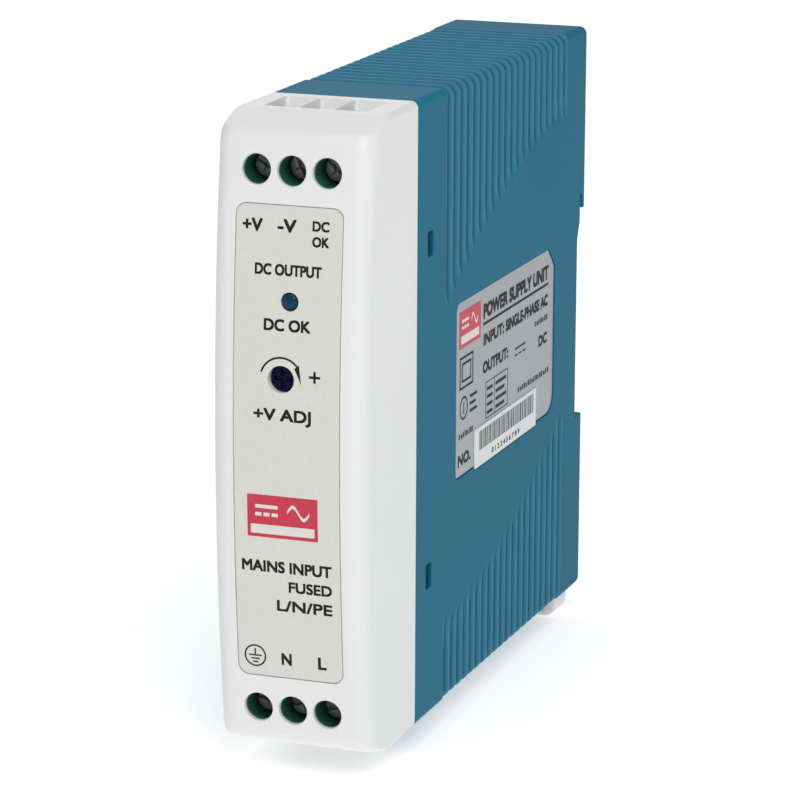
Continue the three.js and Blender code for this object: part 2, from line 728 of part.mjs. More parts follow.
place('trimmer_body', trimmerBody(), CERAMIC_BLUE);
place('trimmer_rotor', trimmerRotor(), NAVY);

// ---------- main board and the converter on it ----------

const SEAT = BOARD_FACE + 0.05;      // undersides of the parts that stand on the main board

place('main_board', block(MAIN_BOARD_X, BOARD_FACE, 31, 92, 3, 87), BOARD);
place('board_connector', block(-6.8, -3.6, FRONT_BOARD_Y + BOARD_THICKNESS + 0.05, 36, 38, 50), BLACK);

// Disc standing on edge on the board, its face towards y.
function disc(y, z, radius, thickness) {
    const centreX = SEAT + radius;
    return rodY(centreX, z, radius, y - thickness / 2, y + thickness / 2, 24);
}

function ring(y, z, outer, inner, x0, x1) {
    return rodX(y, z, outer, x0, x1, 24).subtract(rodX(y, z, inner, x0 - 1, x1 + 1, 20));
}

// Turns of wire round one side of a ring core, as one sleeve with a clear gap to the core.
function sleeve(y, z, outer, inner, x0, x1, span) {
    const gap = 0.1;
    const build = 0.9;
    const fat = ring(y, z, outer + build, inner - build, x0 - build, x1 + build);
    const clear = ring(y, z, outer + gap, inner - gap, x0 - gap, x1 + gap);
    return fat.subtract(clear).intersect(block(x0 - 5, x1 + 5, y - span, y + span, z, z + 20));
}

// Input side, low in the case.
place('fuse', rodY(SEAT + 2.6, 8, 2.6, 33, 48, 16), material(0xd9d3c4, 0.3));
place('thermistor', disc(36, 17, 4.6, 3.6), BLACK);
place('varistor', disc(43, 17.5, 5, 3.8), CERAMIC_BLUE);
place('x_capacitor', block(SEAT, SEAT + 11.5, 51, 58, 5, 20), YELLOW);
place('bridge_rectifier', block(SEAT, SEAT + 3.4, 34, 42, 25, 33), BLACK);
const CHOKE = { y: 69, z: 13, outer: 6, inner: 3, x0: SEAT + 1.3, x1: SEAT + 7.3 };
place('choke_core', ring(CHOKE.y, CHOKE.z, CHOKE.outer, CHOKE.inner, CHOKE.x0, CHOKE.x1), FERRITE);
function chokeWinding() {
    return sleeve(CHOKE.y, CHOKE.z, CHOKE.outer, CHOKE.inner, CHOKE.x0, CHOKE.x1, 4.2);
}
place('choke_winding', chokeWinding(), COPPER);
place('bulk_capacitor', rodY(SEAT + 7.6, 34, 7.5, 46, 71, 24), BLACK);

// Switching stage.
place('controller_chip', block(SEAT, SEAT + 3, 34, 43, 53, 59), BLACK);
place('optocoupler', block(SEAT, SEAT + 3.2, 34, 39.5, 63, 67.5), BLACK);
place('y_capacitor', disc(35.5, 75, 3.8, 3), CERAMIC_BLUE);
const HEAT_SINK = { y: 80, plate: 1.5, height: 15.5, flange: 6, screwX: SEAT + 12.8, screwRadius: 0.8 };
const PACKAGE = { y: 75.5, depth: 4.4, tab: 1.2, half: 5 };
function standingHeatSink(screwZ, z0, z1) {
    const { y, plate, height, flange, screwX, screwRadius } = HEAT_SINK;
    const edge = SEAT + height;
    return union(
        block(SEAT, edge, y, y + plate, z0, z1),
        block(edge - plate, edge, y, y + flange, z0, z1),
    ).subtract(rodY(screwX, screwZ, screwRadius + 0.15, y - 1, y + plate + 0.2, 12));
}
function powerPackage(z) {
    const { y, depth, tab, half } = PACKAGE;
    const body = block(SEAT + 2.2, SEAT + 11, y, y + depth, z - half, z + half);
    const fin = block(SEAT + 10.8, SEAT + 14.4, y + depth - tab, y + depth, z - half, z + half)
        .subtract(rodY(HEAT_SINK.screwX, z, HEAT_SINK.screwRadius + 0.15, y, y + depth + 1, 12));
    return union(body, fin);
}
function heatSinkScrew(z) {
    const { screwX, screwRadius } = HEAT_SINK;
    const underHead = PACKAGE.y + PACKAGE.depth - PACKAGE.tab - 0.05;
    return union(
        rodY(screwX, z, 1.6, underHead - 1.3, underHead, 12),
        rodY(screwX, z, screwRadius, underHead - 0.2, HEAT_SINK.y + HEAT_SINK.plate - 0.2, 12),
    );
}
[
    ['switching_transistor', 'switch_heat_sink', 34, 24, 44],
    ['output_diode', 'diode_heat_sink', 73, 62, 84],
].forEach(([packageName, sinkName, z, z0, z1], i) => {
    place(packageName, powerPackage(z), BLACK);
    place(sinkName, standingHeatSink(z, z0, z1), ALUMINIUM);
    place(`heat_sink_screw_${i + 1}`, heatSinkScrew(z), STEEL);
});

// Transformer: a bobbin with its winding, between two halves of a ferrite core drawn as one closed frame.
const TRANSFORMER = { y0: 47, y1: 67, z0: 45, z1: 61, x0: SEAT + 0.4, x1: SEAT + 15 };
function transformerCore() {
    const { y0, y1, z0, z1, x0, x1 } = TRANSFORMER;
    const frame = block(x0 + 4, x1 - 4, y0, y1, z0, z1)
        .subtract(block(x0, x1, y0 + 2.8, y1 - 2.8, z0 + 2.6, z1 - 2.6));
    const middle = block(x0 + 4, x1 - 4, y0 + 2, y1 - 2, (z0 + z1) / 2 - 2, (z0 + z1) / 2 + 2);
    return union(frame, middle);
}
function bobbinSleeve(half, y0, y1, bore) {
    const { z0, z1, x0, x1 } = TRANSFORMER;
    const [x, z] = [(x0 + x1) / 2, (z0 + z1) / 2];
    return block(x - half - 1.2, x + half + 1.2, y0, y1, z - half, z + half)
        .subtract(block(x - bore - 1.2, x + bore + 1.2, y0 - 1, y1 + 1, z - bore, z + bore));
}
function transformerBobbin() {
    const { y0, y1 } = TRANSFORMER;
    const [front, rear] = [y0 + 3, y1 - 3];
    return union(
        bobbinSleeve(2.8, front, rear, 2.2),
        bobbinSleeve(5.2, front, front + 1, 2.2),
        bobbinSleeve(5.2, rear - 1, rear, 2.2),
    );
}
place('transformer_core', transformerCore(), FERRITE);
place('transformer_bobbin', transformerBobbin(), BLACK);
place('transformer_winding', bobbinSleeve(4.8, TRANSFORMER.y0 + 4.1, TRANSFORMER.y1 - 4.1, 2.9), YELLOW);

// Output side, high in the case.
place('output_capacitor_1', rodX(48, 70, 4, SEAT, SEAT + 15, 20), BLACK);
place('output_capacitor_2', rodX(48, 80, 4, SEAT, SEAT + 15, 20), BLACK);
place('output_inductor_core', rodX(61, 73, 3.2, SEAT + 0.5, SEAT + 12, 18), FERRITE);
place('output_inductor_winding', ring(61, 73, 5, 3.4, SEAT + 1.5, SEAT + 11), COPPER);

export default powerSupply;
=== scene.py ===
"""DIN-rail power supply: the fine visual model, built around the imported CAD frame.

Shapes are drawn in millimetres in the case's own frame (x to the right seen from the front, y from the front
towards the rail, z up from the bottom of the case) and settled into the row frame, in metres, at the end.
"""

import json
import math

import bmesh
import bpy
import numpy as np
from mathutils import Matrix, Vector


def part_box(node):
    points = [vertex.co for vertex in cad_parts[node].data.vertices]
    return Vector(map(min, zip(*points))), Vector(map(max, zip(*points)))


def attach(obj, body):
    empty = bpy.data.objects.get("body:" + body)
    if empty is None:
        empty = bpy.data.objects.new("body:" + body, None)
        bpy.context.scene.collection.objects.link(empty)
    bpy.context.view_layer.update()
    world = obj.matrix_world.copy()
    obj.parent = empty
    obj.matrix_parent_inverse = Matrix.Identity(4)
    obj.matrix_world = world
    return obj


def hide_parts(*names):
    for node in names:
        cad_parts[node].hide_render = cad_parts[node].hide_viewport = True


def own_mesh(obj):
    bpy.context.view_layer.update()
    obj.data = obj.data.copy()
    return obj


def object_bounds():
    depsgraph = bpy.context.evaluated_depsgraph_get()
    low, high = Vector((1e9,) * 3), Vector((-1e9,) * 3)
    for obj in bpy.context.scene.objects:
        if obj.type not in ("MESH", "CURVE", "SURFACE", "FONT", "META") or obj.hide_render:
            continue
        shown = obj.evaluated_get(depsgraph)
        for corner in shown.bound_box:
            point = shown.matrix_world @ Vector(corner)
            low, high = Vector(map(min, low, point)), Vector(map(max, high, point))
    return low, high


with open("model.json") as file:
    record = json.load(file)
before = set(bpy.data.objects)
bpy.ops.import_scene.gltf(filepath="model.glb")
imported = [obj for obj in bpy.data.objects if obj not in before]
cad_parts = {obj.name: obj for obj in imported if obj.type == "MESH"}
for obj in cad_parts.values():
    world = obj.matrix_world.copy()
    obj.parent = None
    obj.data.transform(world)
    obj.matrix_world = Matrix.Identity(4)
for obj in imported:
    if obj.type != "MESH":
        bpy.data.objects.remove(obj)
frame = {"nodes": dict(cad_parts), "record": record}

cad_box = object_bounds()

# ---------- the case frame, taken from the CAD boxes ----------

MM = 0.001
cover_low, cover_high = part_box("front_cover")
housing_low, housing_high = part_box("rear_housing")
CASE_ORIGIN = np.array([0.0, cover_low.y / MM, housing_low.z / MM])


def case_box(node):
    """Lowest and highest corner of a CAD node, in millimetres in the case frame."""
    low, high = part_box(node)
    return np.array(low) / MM - CASE_ORIGIN, np.array(high) / MM - CASE_ORIGIN


HEIGHT = (housing_high.z - housing_low.z) / MM
DEPTH = (housing_high.y - cover_low.y) / MM
HALF_HOUSING = housing_high.x / MM
HALF_COVER = cover_high.x / MM
SEAM = case_box("rear_housing")[0][1]
MID = HEIGHT / 2

WALL = 1.5
FRONT_WALL = 1.8
SEAM_GAP = 0.05
EDGE_RADIUS = 1.0
BOW_RADIUS = 337.0

# ---------- outlines ----------


def bow(z):
    """How far the bowed front face lies behind its foremost line, at a height."""
    return BOW_RADIUS - np.sqrt(BOW_RADIUS**2 - (np.asarray(z) - MID) ** 2)


def fillet(corners, steps=5):
    """Closed outline from corners (a, b, radius), each rounded by an arc."""
    out = []
    for i, (a, b, radius) in enumerate(corners):
        if radius <= 0:
            out.append((a, b))
            continue
        here = Vector((a, b))
        u = (Vector(corners[i - 1][:2]) - here).normalized()
        v = (Vector(corners[(i + 1) % len(corners)][:2]) - here).normalized()
        half = u.angle(v) / 2
        centre = here + (u + v).normalized() * (radius / math.sin(half))
        start = here + u * (radius / math.tan(half)) - centre
        end = here + v * (radius / math.tan(half)) - centre
        first = math.atan2(start.y, start.x)
        turn = math.atan2(end.y, end.x) - first
        turn = (turn + math.pi) % (2 * math.pi) - math.pi
        for k in range(steps + 1):
            angle = first + turn * k / steps
            out.append((centre.x + radius * math.cos(angle), centre.y + radius * math.sin(angle)))
    return np.array(out)


def rectangle(a0, a1, b0, b1, radius, steps=5):
    return fillet([(a0, b0, radius), (a1, b0, radius), (a1, b1, radius), (a0, b1, radius)], steps)


def circle(a, b, radius, steps=40):
    angles = np.linspace(0, 2 * np.pi, steps, endpoint=False)
    return np.stack([a + radius * np.cos(angles), b + radius * np.sin(angles)], axis=1)


def offset(outline, distance):
    """A counter-clockwise outline moved outwards by a distance, a clockwise one inwards."""
    normals = []
    for edge in (outline - np.roll(outline, 1, axis=0), np.roll(outline, -1, axis=0) - outline):
        normal = np.stack([edge[:, 1], -edge[:, 0]], axis=1)
        normals.append(normal / np.linalg.norm(normal, axis=1)[:, None])
    middle = normals[0] + normals[1]
    middle /= np.linalg.norm(middle, axis=1)[:, None]
    stretch = np.clip((middle * normals[0]).sum(axis=1), 0.3, 1)
    return outline + middle * (distance / stretch)[:, None]


# ---------- meshes ----------

PLACES = {"x": (1, 2, 0), "y": (0, 2, 1), "z": (0, 1, 2)}
SAME_POINT = 1e-5
LEAST_RADIUS = 1e-3


def linked(name, data):
    """A new object in the scene."""
    obj = bpy.data.objects.new(name, data)
    bpy.context.scene.collection.objects.link(obj)
    return obj


def copied(obj):
    return linked(obj.name, obj.data.copy())


def make(name, vertices, faces):
    """A closed mesh object with its normals pointing out."""
    mesh = bpy.data.meshes.new(name)
    mesh.from_pydata([tuple(v) for v in np.asarray(vertices, float)], [], [list(f) for f in faces])
    work = bmesh.new()
    work.from_mesh(mesh)
    bmesh.ops.remove_doubles(work, verts=work.verts, dist=SAME_POINT)
    bmesh.ops.recalc_face_normals(work, faces=work.faces)
    work.to_mesh(mesh)
    work.free()
    return linked(name, mesh)


def loft(name, rings):
    """Closed skin through rings of equal count; each ring is an (n, 3) array."""
    rings = [np.asarray(r, float) for r in rings]
    count = len(rings[0])
    faces = []
    for k in range(len(rings) - 1):
        for i in range(count):
            j = (i + 1) % count
            faces.append((k * count + i, k * count + j, (k + 1) * count + j, (k + 1) * count + i))
    faces.append(tuple(range(count))[::-1])
    faces.append(tuple(range((len(rings) - 1) * count, len(rings) * count)))
    return make(name, np.concatenate(rings), faces)


FLARE_START = math.radians(30)
OVERSHOOT = 0.4


def end_levels(level, edge, direction, steps):
    """(position, offset) pairs of a prism's end, from its middle outwards.

    A positive edge rounds the end; a negative one flares a cutter, so that its hole gets a rounded rim."""
    radius = abs(edge)
    if edge > 0:
        angles = np.linspace(0, np.pi / 2, steps + 1)
        return [(level - direction * radius * (1 - math.sin(a)), -radius * (1 - math.cos(a))) for a in angles]
    if edge < 0:
        angles = np.linspace(np.pi / 2, FLARE_START, steps + 1)
        out = [(level - direction * radius * (1 - math.cos(a)), radius * (1 - math.sin(a))) for a in angles]
        last, wide = out[-1]
        rise = OVERSHOOT + abs(level - last)
        out.append((last + direction * rise, wide + rise / math.tan(FLARE_START)))
        return out
    return [(level, 0.0)]


def placed(flat, axis, position):
    """Flat (a, b) points set at a position along an axis."""
    a, b, c = PLACES[axis]
    points = np.empty((len(flat), 3))
    points[:, a] = flat[:, 0]
    points[:, b] = flat[:, 1]
    points[:, c] = position
    return points


def prism(name, outline, axis, low, high, low_edge=0.0, high_edge=0.0, steps=3, warp=None):
    """An outline pushed along an axis, with rounded or flared ends."""
    rings = []
    for position, widen in end_levels(low, low_edge, -1, steps)[::-1] + end_levels(high, high_edge, 1, steps):
        ring = placed(offset(outline, widen) if widen else outline, axis, position)
        rings.append(warp(ring) if warp else ring)
    return loft(name, rings)


def bowed(points):
    """Moves points back by the front face's bow; until then, their y is a depth below it."""
    points[:, 1] += bow(points[:, 2])
    return points


def block(name, x0, x1, y0, y1, z0, z1, edge, corner):
    """A box with rounded corners and edges, pushed along x."""
    return prism(name, rectangle(y0, y1, z0, z1, corner, 3), "x", x0, x1, edge, edge, 2)


def lathe(name, profile, centre, sides=48):
    """A profile of (radius, y) points turned about an axis along y through a centre (x, z)."""
    return loft(name, [placed(circle(*centre, max(r, LEAST_RADIUS), sides), "y", y) for r, y in profile])


def evaluated(obj):
    graph = bpy.context.evaluated_depsgraph_get()
    return bpy.data.meshes.new_from_object(obj.evaluated_get(graph))


def combine(target, tools, operation):
    """Boolean of a target with tools, which are used up."""
    for tool in tools:
        modifier = target.modifiers.new("combine", "BOOLEAN")
        modifier.operation = operation
        modifier.object = tool
        modifier.solver = "MANIFOLD"
        bpy.context.view_layer.update()
        mesh = evaluated(target)
        target.modifiers.clear()
        target.data = mesh
        bpy.data.objects.remove(tool)
    return target


def cut(target, *tools):
    return combine(target, tools, "DIFFERENCE")


def fuse(target, *tools):
    return combine(target, tools, "UNION")


def join(name, objects):
    """Several objects as one mesh, without a boolean."""
    work = bmesh.new()
    for obj in objects:
        work.from_mesh(obj.data)
        bpy.data.objects.remove(obj)
    mesh = bpy.data.meshes.new(name)
    work.to_mesh(mesh)
    work.free()
    return linked(name, mesh)


def mirrored(obj, axis=0, middle=0.0):
    """The same object, mirrored about a middle plane across an axis."""
    for vertex in obj.data.vertices:
        vertex.co[axis] = 2 * middle - vertex.co[axis]
    obj.data.flip_normals()
    return obj


def upright(obj):
    return obj


def turned_over(obj):
    """The same shape for the bottom of the case."""
    return mirrored(obj, 2, MID)


ROWS = (("top", upright), ("bottom", turned_over))


def settle(obj, name, slot, nodes=(), body="case", look=None, sharp=32):
    """Makes a finished shape a piece of the row frame, in its slot's look unless another is given."""
    obj.data.transform(Matrix.Diagonal((MM, MM, MM, 1)) @ Matrix.Translation(Vector(CASE_ORIGIN)))
    obj.name = name
    obj.data.name = name
    obj.data.materials.clear()
    obj.data.materials.append(look or SLOT_LOOKS[slot])
    obj.data.shade_smooth()
    obj.data.set_sharp_from_angle(angle=math.radians(sharp))
    modifier = obj.modifiers.new("shading", "WEIGHTED_NORMAL")
    modifier.keep_sharp = True
    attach(obj, body)
    if nodes:
        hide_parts(*nodes)
    return obj


# ---------- materials: sizes in metres ----------


class Look:
    """A node material under construction around one Principled shader.

    Inputs are plain values or other nodes' outputs, given in socket order or by name (_ for a space)."""

    def __init__(self, name, color, roughness, metallic=0.0, **inputs):
        self.material = bpy.data.materials.new(name)
        self.material.use_nodes = True
        self.tree = self.material.node_tree
        self.shader = self.tree.nodes["Principled BSDF"]
        self.drive(Base_Color=(*color, 1), Roughness=roughness, Metallic=metallic, **inputs)
        self.place = self.node("ShaderNodeTexCoord").outputs["Object"]

    def feed(self, node, socket, value):
        if isinstance(value, bpy.types.NodeSocket):
            self.tree.links.new(value, node.inputs[socket])
        else:
            node.inputs[socket].default_value = value

    def drive(self, **inputs):
        """Sets or links the shader's own inputs."""
        for name, value in inputs.items():
            self.feed(self.shader, name.replace("_", " "), value)

    def node(self, kind, *values, **inputs):
        node = self.tree.nodes.new(kind)
        for socket, value in enumerate(values):
            self.feed(node, socket, value)
        for name, value in inputs.items():
            self.feed(node, name.replace("_", " "), value)
        return node

    def stretched(self, scale):
        return self.node("ShaderNodeMapping", Scale=scale, Vector=self.place).outputs["Vector"]

    def noise(self, size, detail=3.0, stretch=None):
        """Noise whose features measure about a size."""
        place = self.stretched(stretch) if stretch else self.place
        return self.node("ShaderNodeTexNoise", Scale=1 / size, Detail=detail, Vector=place).outputs["Fac"]

    def ramp(self, factor, low, high, color_low, color_high):
        node = self.node("ShaderNodeValToRGB", Fac=factor)
        for element, at, color in zip(node.color_ramp.elements, (low, high), (color_low, color_high)):
            element.position = at
            element.color = (*color, 1)
        return node.outputs["Color"]

    def blend(self, factor, first, second):
        """Mixes a plain colour into another node's colour."""
        node = self.node("ShaderNodeMix")
        node.data_type = "RGBA"
        for socket, value in ((0, factor), (6, first), (7, (*second, 1))):
            self.feed(node, socket, value)
        return node.outputs[2]

    def span(self, factor, low, high, low_out=0.0, high_out=1.0):
        return self.node("ShaderNodeMapRange", factor, low, high, low_out, high_out).outputs["Result"]

    def calc(self, operation, *values):
        node = self.node("ShaderNodeMath", *values)
        node.operation = operation
        return node.outputs[0]

    def bump(self, height, distance, strength=0.5):
        node = self.node("ShaderNodeBump", Strength=strength, Distance=distance, Height=height)
        self.drive(Normal=node.outputs["Normal"])


def shade(color, factor):
    return tuple(min(1.0, c * factor) for c in color)


def around(color, spread):
    """A darker and a lighter shade of a colour."""
    return shade(color, 1 - spread), shade(color, 1 + spread)


def moulded(
    name, color, roughness, grain=0.00025, depth=0.00002, mottle=0.06, edge=1.12, painted_tones=None, **inputs,
):
    """Moulded plastic: spark-eroded grain, faint clouding, lighter rubbed edges, and local tones that may
    paint light and shade in.
    """
    look = Look(name, color, roughness, **inputs)
    clouds = look.ramp(look.noise(0.03), 0.3, 0.7, *around(color, mottle))
    wear = look.span(look.node("ShaderNodeNewGeometry").outputs["Pointiness"], 0.52, 0.62, 0.0, 0.5)
    base = look.blend(wear, clouds, shade(color, edge))
    # the local tones blend painted sheen and painted shade into the colour
    for share, tone in painted_tones(look) if painted_tones else ():
        base = look.blend(share, base, tone)
    noise = look.noise(grain, 4.0)
    look.drive(Base_Color=base, Roughness=look.span(noise, 0.3, 0.7, roughness - 0.06, roughness + 0.06))
    look.bump(noise, depth)
    return look.material


def printed(name, color, roughness, spread=0.15, **inputs):
    """Printing ink or paper: matt, with a slightly uneven lay-down."""
    look = Look(name, color, roughness, **inputs)
    patches = look.noise(0.0004, 5.0)
    look.drive(Base_Color=look.ramp(patches, 0.3, 0.75, *around(color, spread)))
    look.bump(patches, 0.000004, 0.3)
    return look.material


def foil(name, color, roughness, metallic, stretch):
    """Label film: fine lines drawn out along one direction."""
    look = Look(name, color, roughness, metallic)
    lines = look.noise(0.0002, 3.0, stretch)
    look.drive(
        Base_Color=look.ramp(lines, 0.25, 0.75, *around(color, 0.05)),
        Roughness=look.span(lines, 0.3, 0.7, roughness - 0.05, roughness + 0.05),
    )
    look.bump(look.noise(0.0006), 0.000006, 0.4)
    return look.material


def metal(name, color, roughness, stretch=(1, 1, 1), tarnish=0.75, metallic=1.0):
    """Metal with drawn scratches and darker patches."""
    look = Look(name, color, roughness, metallic)
    scratches = look.noise(0.0003, 5.0, stretch)
    look.drive(
        Base_Color=look.ramp(look.noise(0.002), 0.35, 0.7, shade(color, tarnish), color),
        Roughness=look.span(scratches, 0.3, 0.7, roughness - 0.1, roughness + 0.15),
    )
    look.bump(scratches, 0.00001, 0.4)
    return look.material


def laminate(name, color):
    """Circuit board: solder mask over woven glass, with raised copper tracks."""
    look = Look(name, color, 0.35, Coat_Weight=0.3)
    tracks = look.node(
        "ShaderNodeTexBrick", Scale=260.0, Mortar_Size=0.012, Brick_Width=0.9, Row_Height=0.35,
        Vector=look.stretched((0.1, 1, 1)),
    ).outputs["Fac"]
    base = look.ramp(look.noise(0.0004, 2.0), 0.3, 0.7, shade(color, 0.85), shade(color, 1.1))
    look.drive(Base_Color=look.blend(look.span(tracks, 0, 1, 0, 0.6), base, shade(color, 1.8)))
    look.bump(tracks, 0.00003)
    return look.material


WAVE_PERIOD = 0.314
WIRE_PITCH = 0.0008


def windings(name, color, metallic):
    """Wire laid turn beside turn; a wave texture of scale 1 repeats every WAVE_PERIOD."""
    look = Look(name, color, 0.35, metallic)
    turns = look.node("ShaderNodeTexWave", Scale=WAVE_PERIOD / WIRE_PITCH, Vector=look.place).outputs["Fac"]
    look.drive(Base_Color=look.ramp(turns, 0.1, 0.7, shade(color, 0.4), color))
    look.bump(turns, WIRE_PITCH * 0.3, 0.8)
    return look.material


HOUSING_BLUE = (0.006, 0.143, 0.236)
# painted light on the housing: a lighter blue paints sheen where the grooves run, a darker blue paints shade
# in its grooves and windows
RIB_SHEEN_BLUE = (0.036, 0.192, 0.300)
GROOVE_SHADE_BLUE = (0.010, 0.076, 0.122)
COVER_WHITE = (0.775, 0.78, 0.78)
LABEL_GREY = (0.665, 0.675, 0.615)
LABEL_SILVER = (0.335, 0.358, 0.377)
PAPER_WHITE = (0.74, 0.75, 0.77)
INK_BLACK = (0.012, 0.012, 0.012)
INK_RED = (0.56, 0.022, 0.055)
INK_PALE = (0.72, 0.70, 0.66)
LATCH_NATURAL = (0.80, 0.77, 0.775)
BLOCK_GREEN = (0.012, 0.120, 0.070)
STEEL = (0.34, 0.34, 0.35)
SPRING_STEEL = (0.42, 0.42, 0.43)
TIN = (0.66, 0.67, 0.68)
ALUMINIUM = (0.62, 0.64, 0.66)
COPPER = (0.62, 0.22, 0.07)
LENS_TEAL = (0.002, 0.032, 0.064)
ROTOR_NAVY = (0.002, 0.002, 0.030)
TRIMMER_BLUE = (0.02, 0.09, 0.30)
COMPONENT_BLACK = (0.013, 0.013, 0.015)
FUSE_CREAM = (0.70, 0.66, 0.56)
FILM_YELLOW = (0.72, 0.42, 0.05)
FERRITE_GREY = (0.045, 0.045, 0.05)
BOARD_GREEN = (0.03, 0.15, 0.06)

RIB_CORNER = 1.5
GROOVE_COUNT = 20
GROOVE_FIRST = 34.9
GROOVE_PITCH = 2.82
GROOVE_LAST = GROOVE_FIRST + GROOVE_PITCH * (GROOVE_COUNT - 1)
GROOVE_REACH = 59.0
GROOVE_RISE = 18.2
GROOVE_BEND = 1.7


def ribbed_zone(look, depth, height):
    """1 where the upper or the lower set of grooves runs; depth and height from the case's corner."""
    along = look.span(depth, GROOVE_FIRST * MM, GROOVE_LAST * MM)
    back = look.calc("SUBTRACT", 1.0, along)
    sets = []
    for level, share in ((height, back), (look.calc("SUBTRACT", HEIGHT * MM, height), along)):
        bend = look.calc("POWER", share, GROOVE_BEND)
        end = look.span(bend, 0.0, 1.0, (GROOVE_REACH + GROOVE_RISE) * MM, GROOVE_REACH * MM)
        sets.append(look.span(look.calc("SUBTRACT", level, end), 0.0, 2 * MM))
    front = look.span(depth, (GROOVE_FIRST - 1.4) * MM, (GROOVE_FIRST - 1.2) * MM)
    rear = look.span(depth, (GROOVE_LAST + 1.2) * MM, (GROOVE_LAST + 1.4) * MM, 1.0, 0.0)
    return look.calc("MULTIPLY", look.calc("MAXIMUM", *sets), look.calc("MULTIPLY", front, rear))


def housing_painted_light(look):
    """Painted sheen over the ribbed zone, and painted shade in the grooves, windows and other hollows: what
    lies below the plain section's surface.
    """
    x, y, z = look.node("ShaderNodeSeparateXYZ", look.place).outputs
    depth = look.calc("SUBTRACT", y, CASE_ORIGIN[1] * MM)
    height = look.calc("SUBTRACT", z, CASE_ORIGIN[2] * MM)
    corner = RIB_CORNER * MM
    across = look.calc("SUBTRACT", look.calc("ABSOLUTE", x), HALF_HOUSING * MM - corner)
    rise = look.calc("ABSOLUTE", look.calc("SUBTRACT", height, MID * MM))
    rise = look.calc("SUBTRACT", rise, MID * MM - corner)
    squares = [look.calc("POWER", look.calc("MAXIMUM", side, 0.0), 2.0) for side in (across, rise)]
    outside = look.calc("SQRT", look.calc("ADD", *squares))
    inside = look.calc("MINIMUM", look.calc("MAXIMUM", across, rise), 0.0)
    inset = look.calc("SUBTRACT", look.calc("ADD", outside, inside), corner)
    # painted shade: darker where the surface lies below the plain section's rounded outline, except near the
    # rear
    deep = look.span(inset, -0.55 * MM, -0.1 * MM, 1.0, 0.0)
    painted_shade = look.calc("MULTIPLY", deep, look.span(depth, (DEPTH - 6) * MM, (DEPTH - 5) * MM, 1.0, 0.0))
    # painted sheen over the ribbed zone, painted shade in the hollows
    return (ribbed_zone(look, depth, height), RIB_SHEEN_BLUE), (painted_shade, GROOVE_SHADE_BLUE)


black_ink = printed("black_ink", INK_BLACK, 0.6, Specular_IOR_Level=0.2)
red_ink = printed("red_ink", INK_RED, 0.5, 0.06)
pale_ink = printed("pale_ink", INK_PALE, 0.5, 0.03)

SLOT_LOOKS = {
    # the housing's colour carries painted sheen on the ribbed zone and painted shade in the grooves and
    # windows
    "housing_blue": moulded("housing_blue", HOUSING_BLUE, 0.6, painted_tones=housing_painted_light, Specular_IOR_Level=0.12),
    "cover_white": moulded("cover_white", COVER_WHITE, 0.42, edge=1.03, mottle=0.012),
    "label_face": foil("label_film", LABEL_GREY, 0.45, 0.0, (1, 1, 1)),
    "label_silver": foil("silver_film", LABEL_SILVER, 0.4, 0.25, (1, 0.05, 1)),
    "sticker_paper": printed("sticker_paper", PAPER_WHITE, 0.6, 0.02),
    "latch_plastic": moulded(
        "latch_natural", LATCH_NATURAL, 0.35, mottle=0.03, edge=1.02, Subsurface_Weight=0.35,
        Subsurface_Scale=0.002, Subsurface_Radius=(1.0, 0.9, 0.85),
    ),
    "spring_steel": metal("spring_wire", SPRING_STEEL, 0.25),
    "terminal_green": moulded("terminal_green", BLOCK_GREEN, 0.38, grain=0.0004, depth=0.00001),
    "screw_steel": metal("screw_steel", STEEL, 0.45, (1, 0.2, 1), metallic=0.45),
    "tinned_metal": metal("tinned_metal", TIN, 0.3, tarnish=0.85),
    "board_laminate": laminate("board_laminate", BOARD_GREEN),
    "lamp_lens": moulded(
        "lamp_lens", LENS_TEAL, 0.15, grain=0.002, depth=0.0, mottle=0.3, edge=1.0, Specular_IOR_Level=0.15,
    ),
    "trimmer_blue": moulded("trimmer_blue", TRIMMER_BLUE, 0.35),
    "rotor_navy": moulded(
        "rotor_navy", ROTOR_NAVY, 0.5, grain=0.0006, depth=0.000008, Specular_IOR_Level=0.1,
    ),
    "black_plastic": moulded("component_black", COMPONENT_BLACK, 0.45, edge=1.6),
    "fuse_ceramic": moulded("fuse_ceramic", FUSE_CREAM, 0.25, grain=0.001),
    "yellow_film": moulded("film_yellow", FILM_YELLOW, 0.35),
    "ferrite": moulded("ferrite_grey", FERRITE_GREY, 0.65, grain=0.0006, depth=0.00004),
    "copper_wire": windings("copper_wire", COPPER, 0.9),
    "aluminium": metal("aluminium", ALUMINIUM, 0.35, (1, 1, 0.05)),
}

# ---------- rear housing ----------

GROOVE_HALF = 1.15
GROOVE_DEPTH = 0.7
RUN_OUT = 2.4
REAR_RADIUS = 1.4
REAR_SIDE_RADIUS = 0.8
SEAM_LIP = 0.18
SIDE_STEP = 0.45
BEND_MARGIN = 0.2
GROOVE_STEPS = np.array([-1, -0.86, -0.68, -0.48, -0.25, 0, 0.25, 0.48, 0.68, 0.86, 1])


def groove_end(k):
    """Height at which groove k of the upper set runs out on the side walls."""
    along = k / (GROOVE_COUNT - 1)
    return GROOVE_REACH + GROOVE_RISE * (1 - (1 - along) ** GROOVE_BEND)


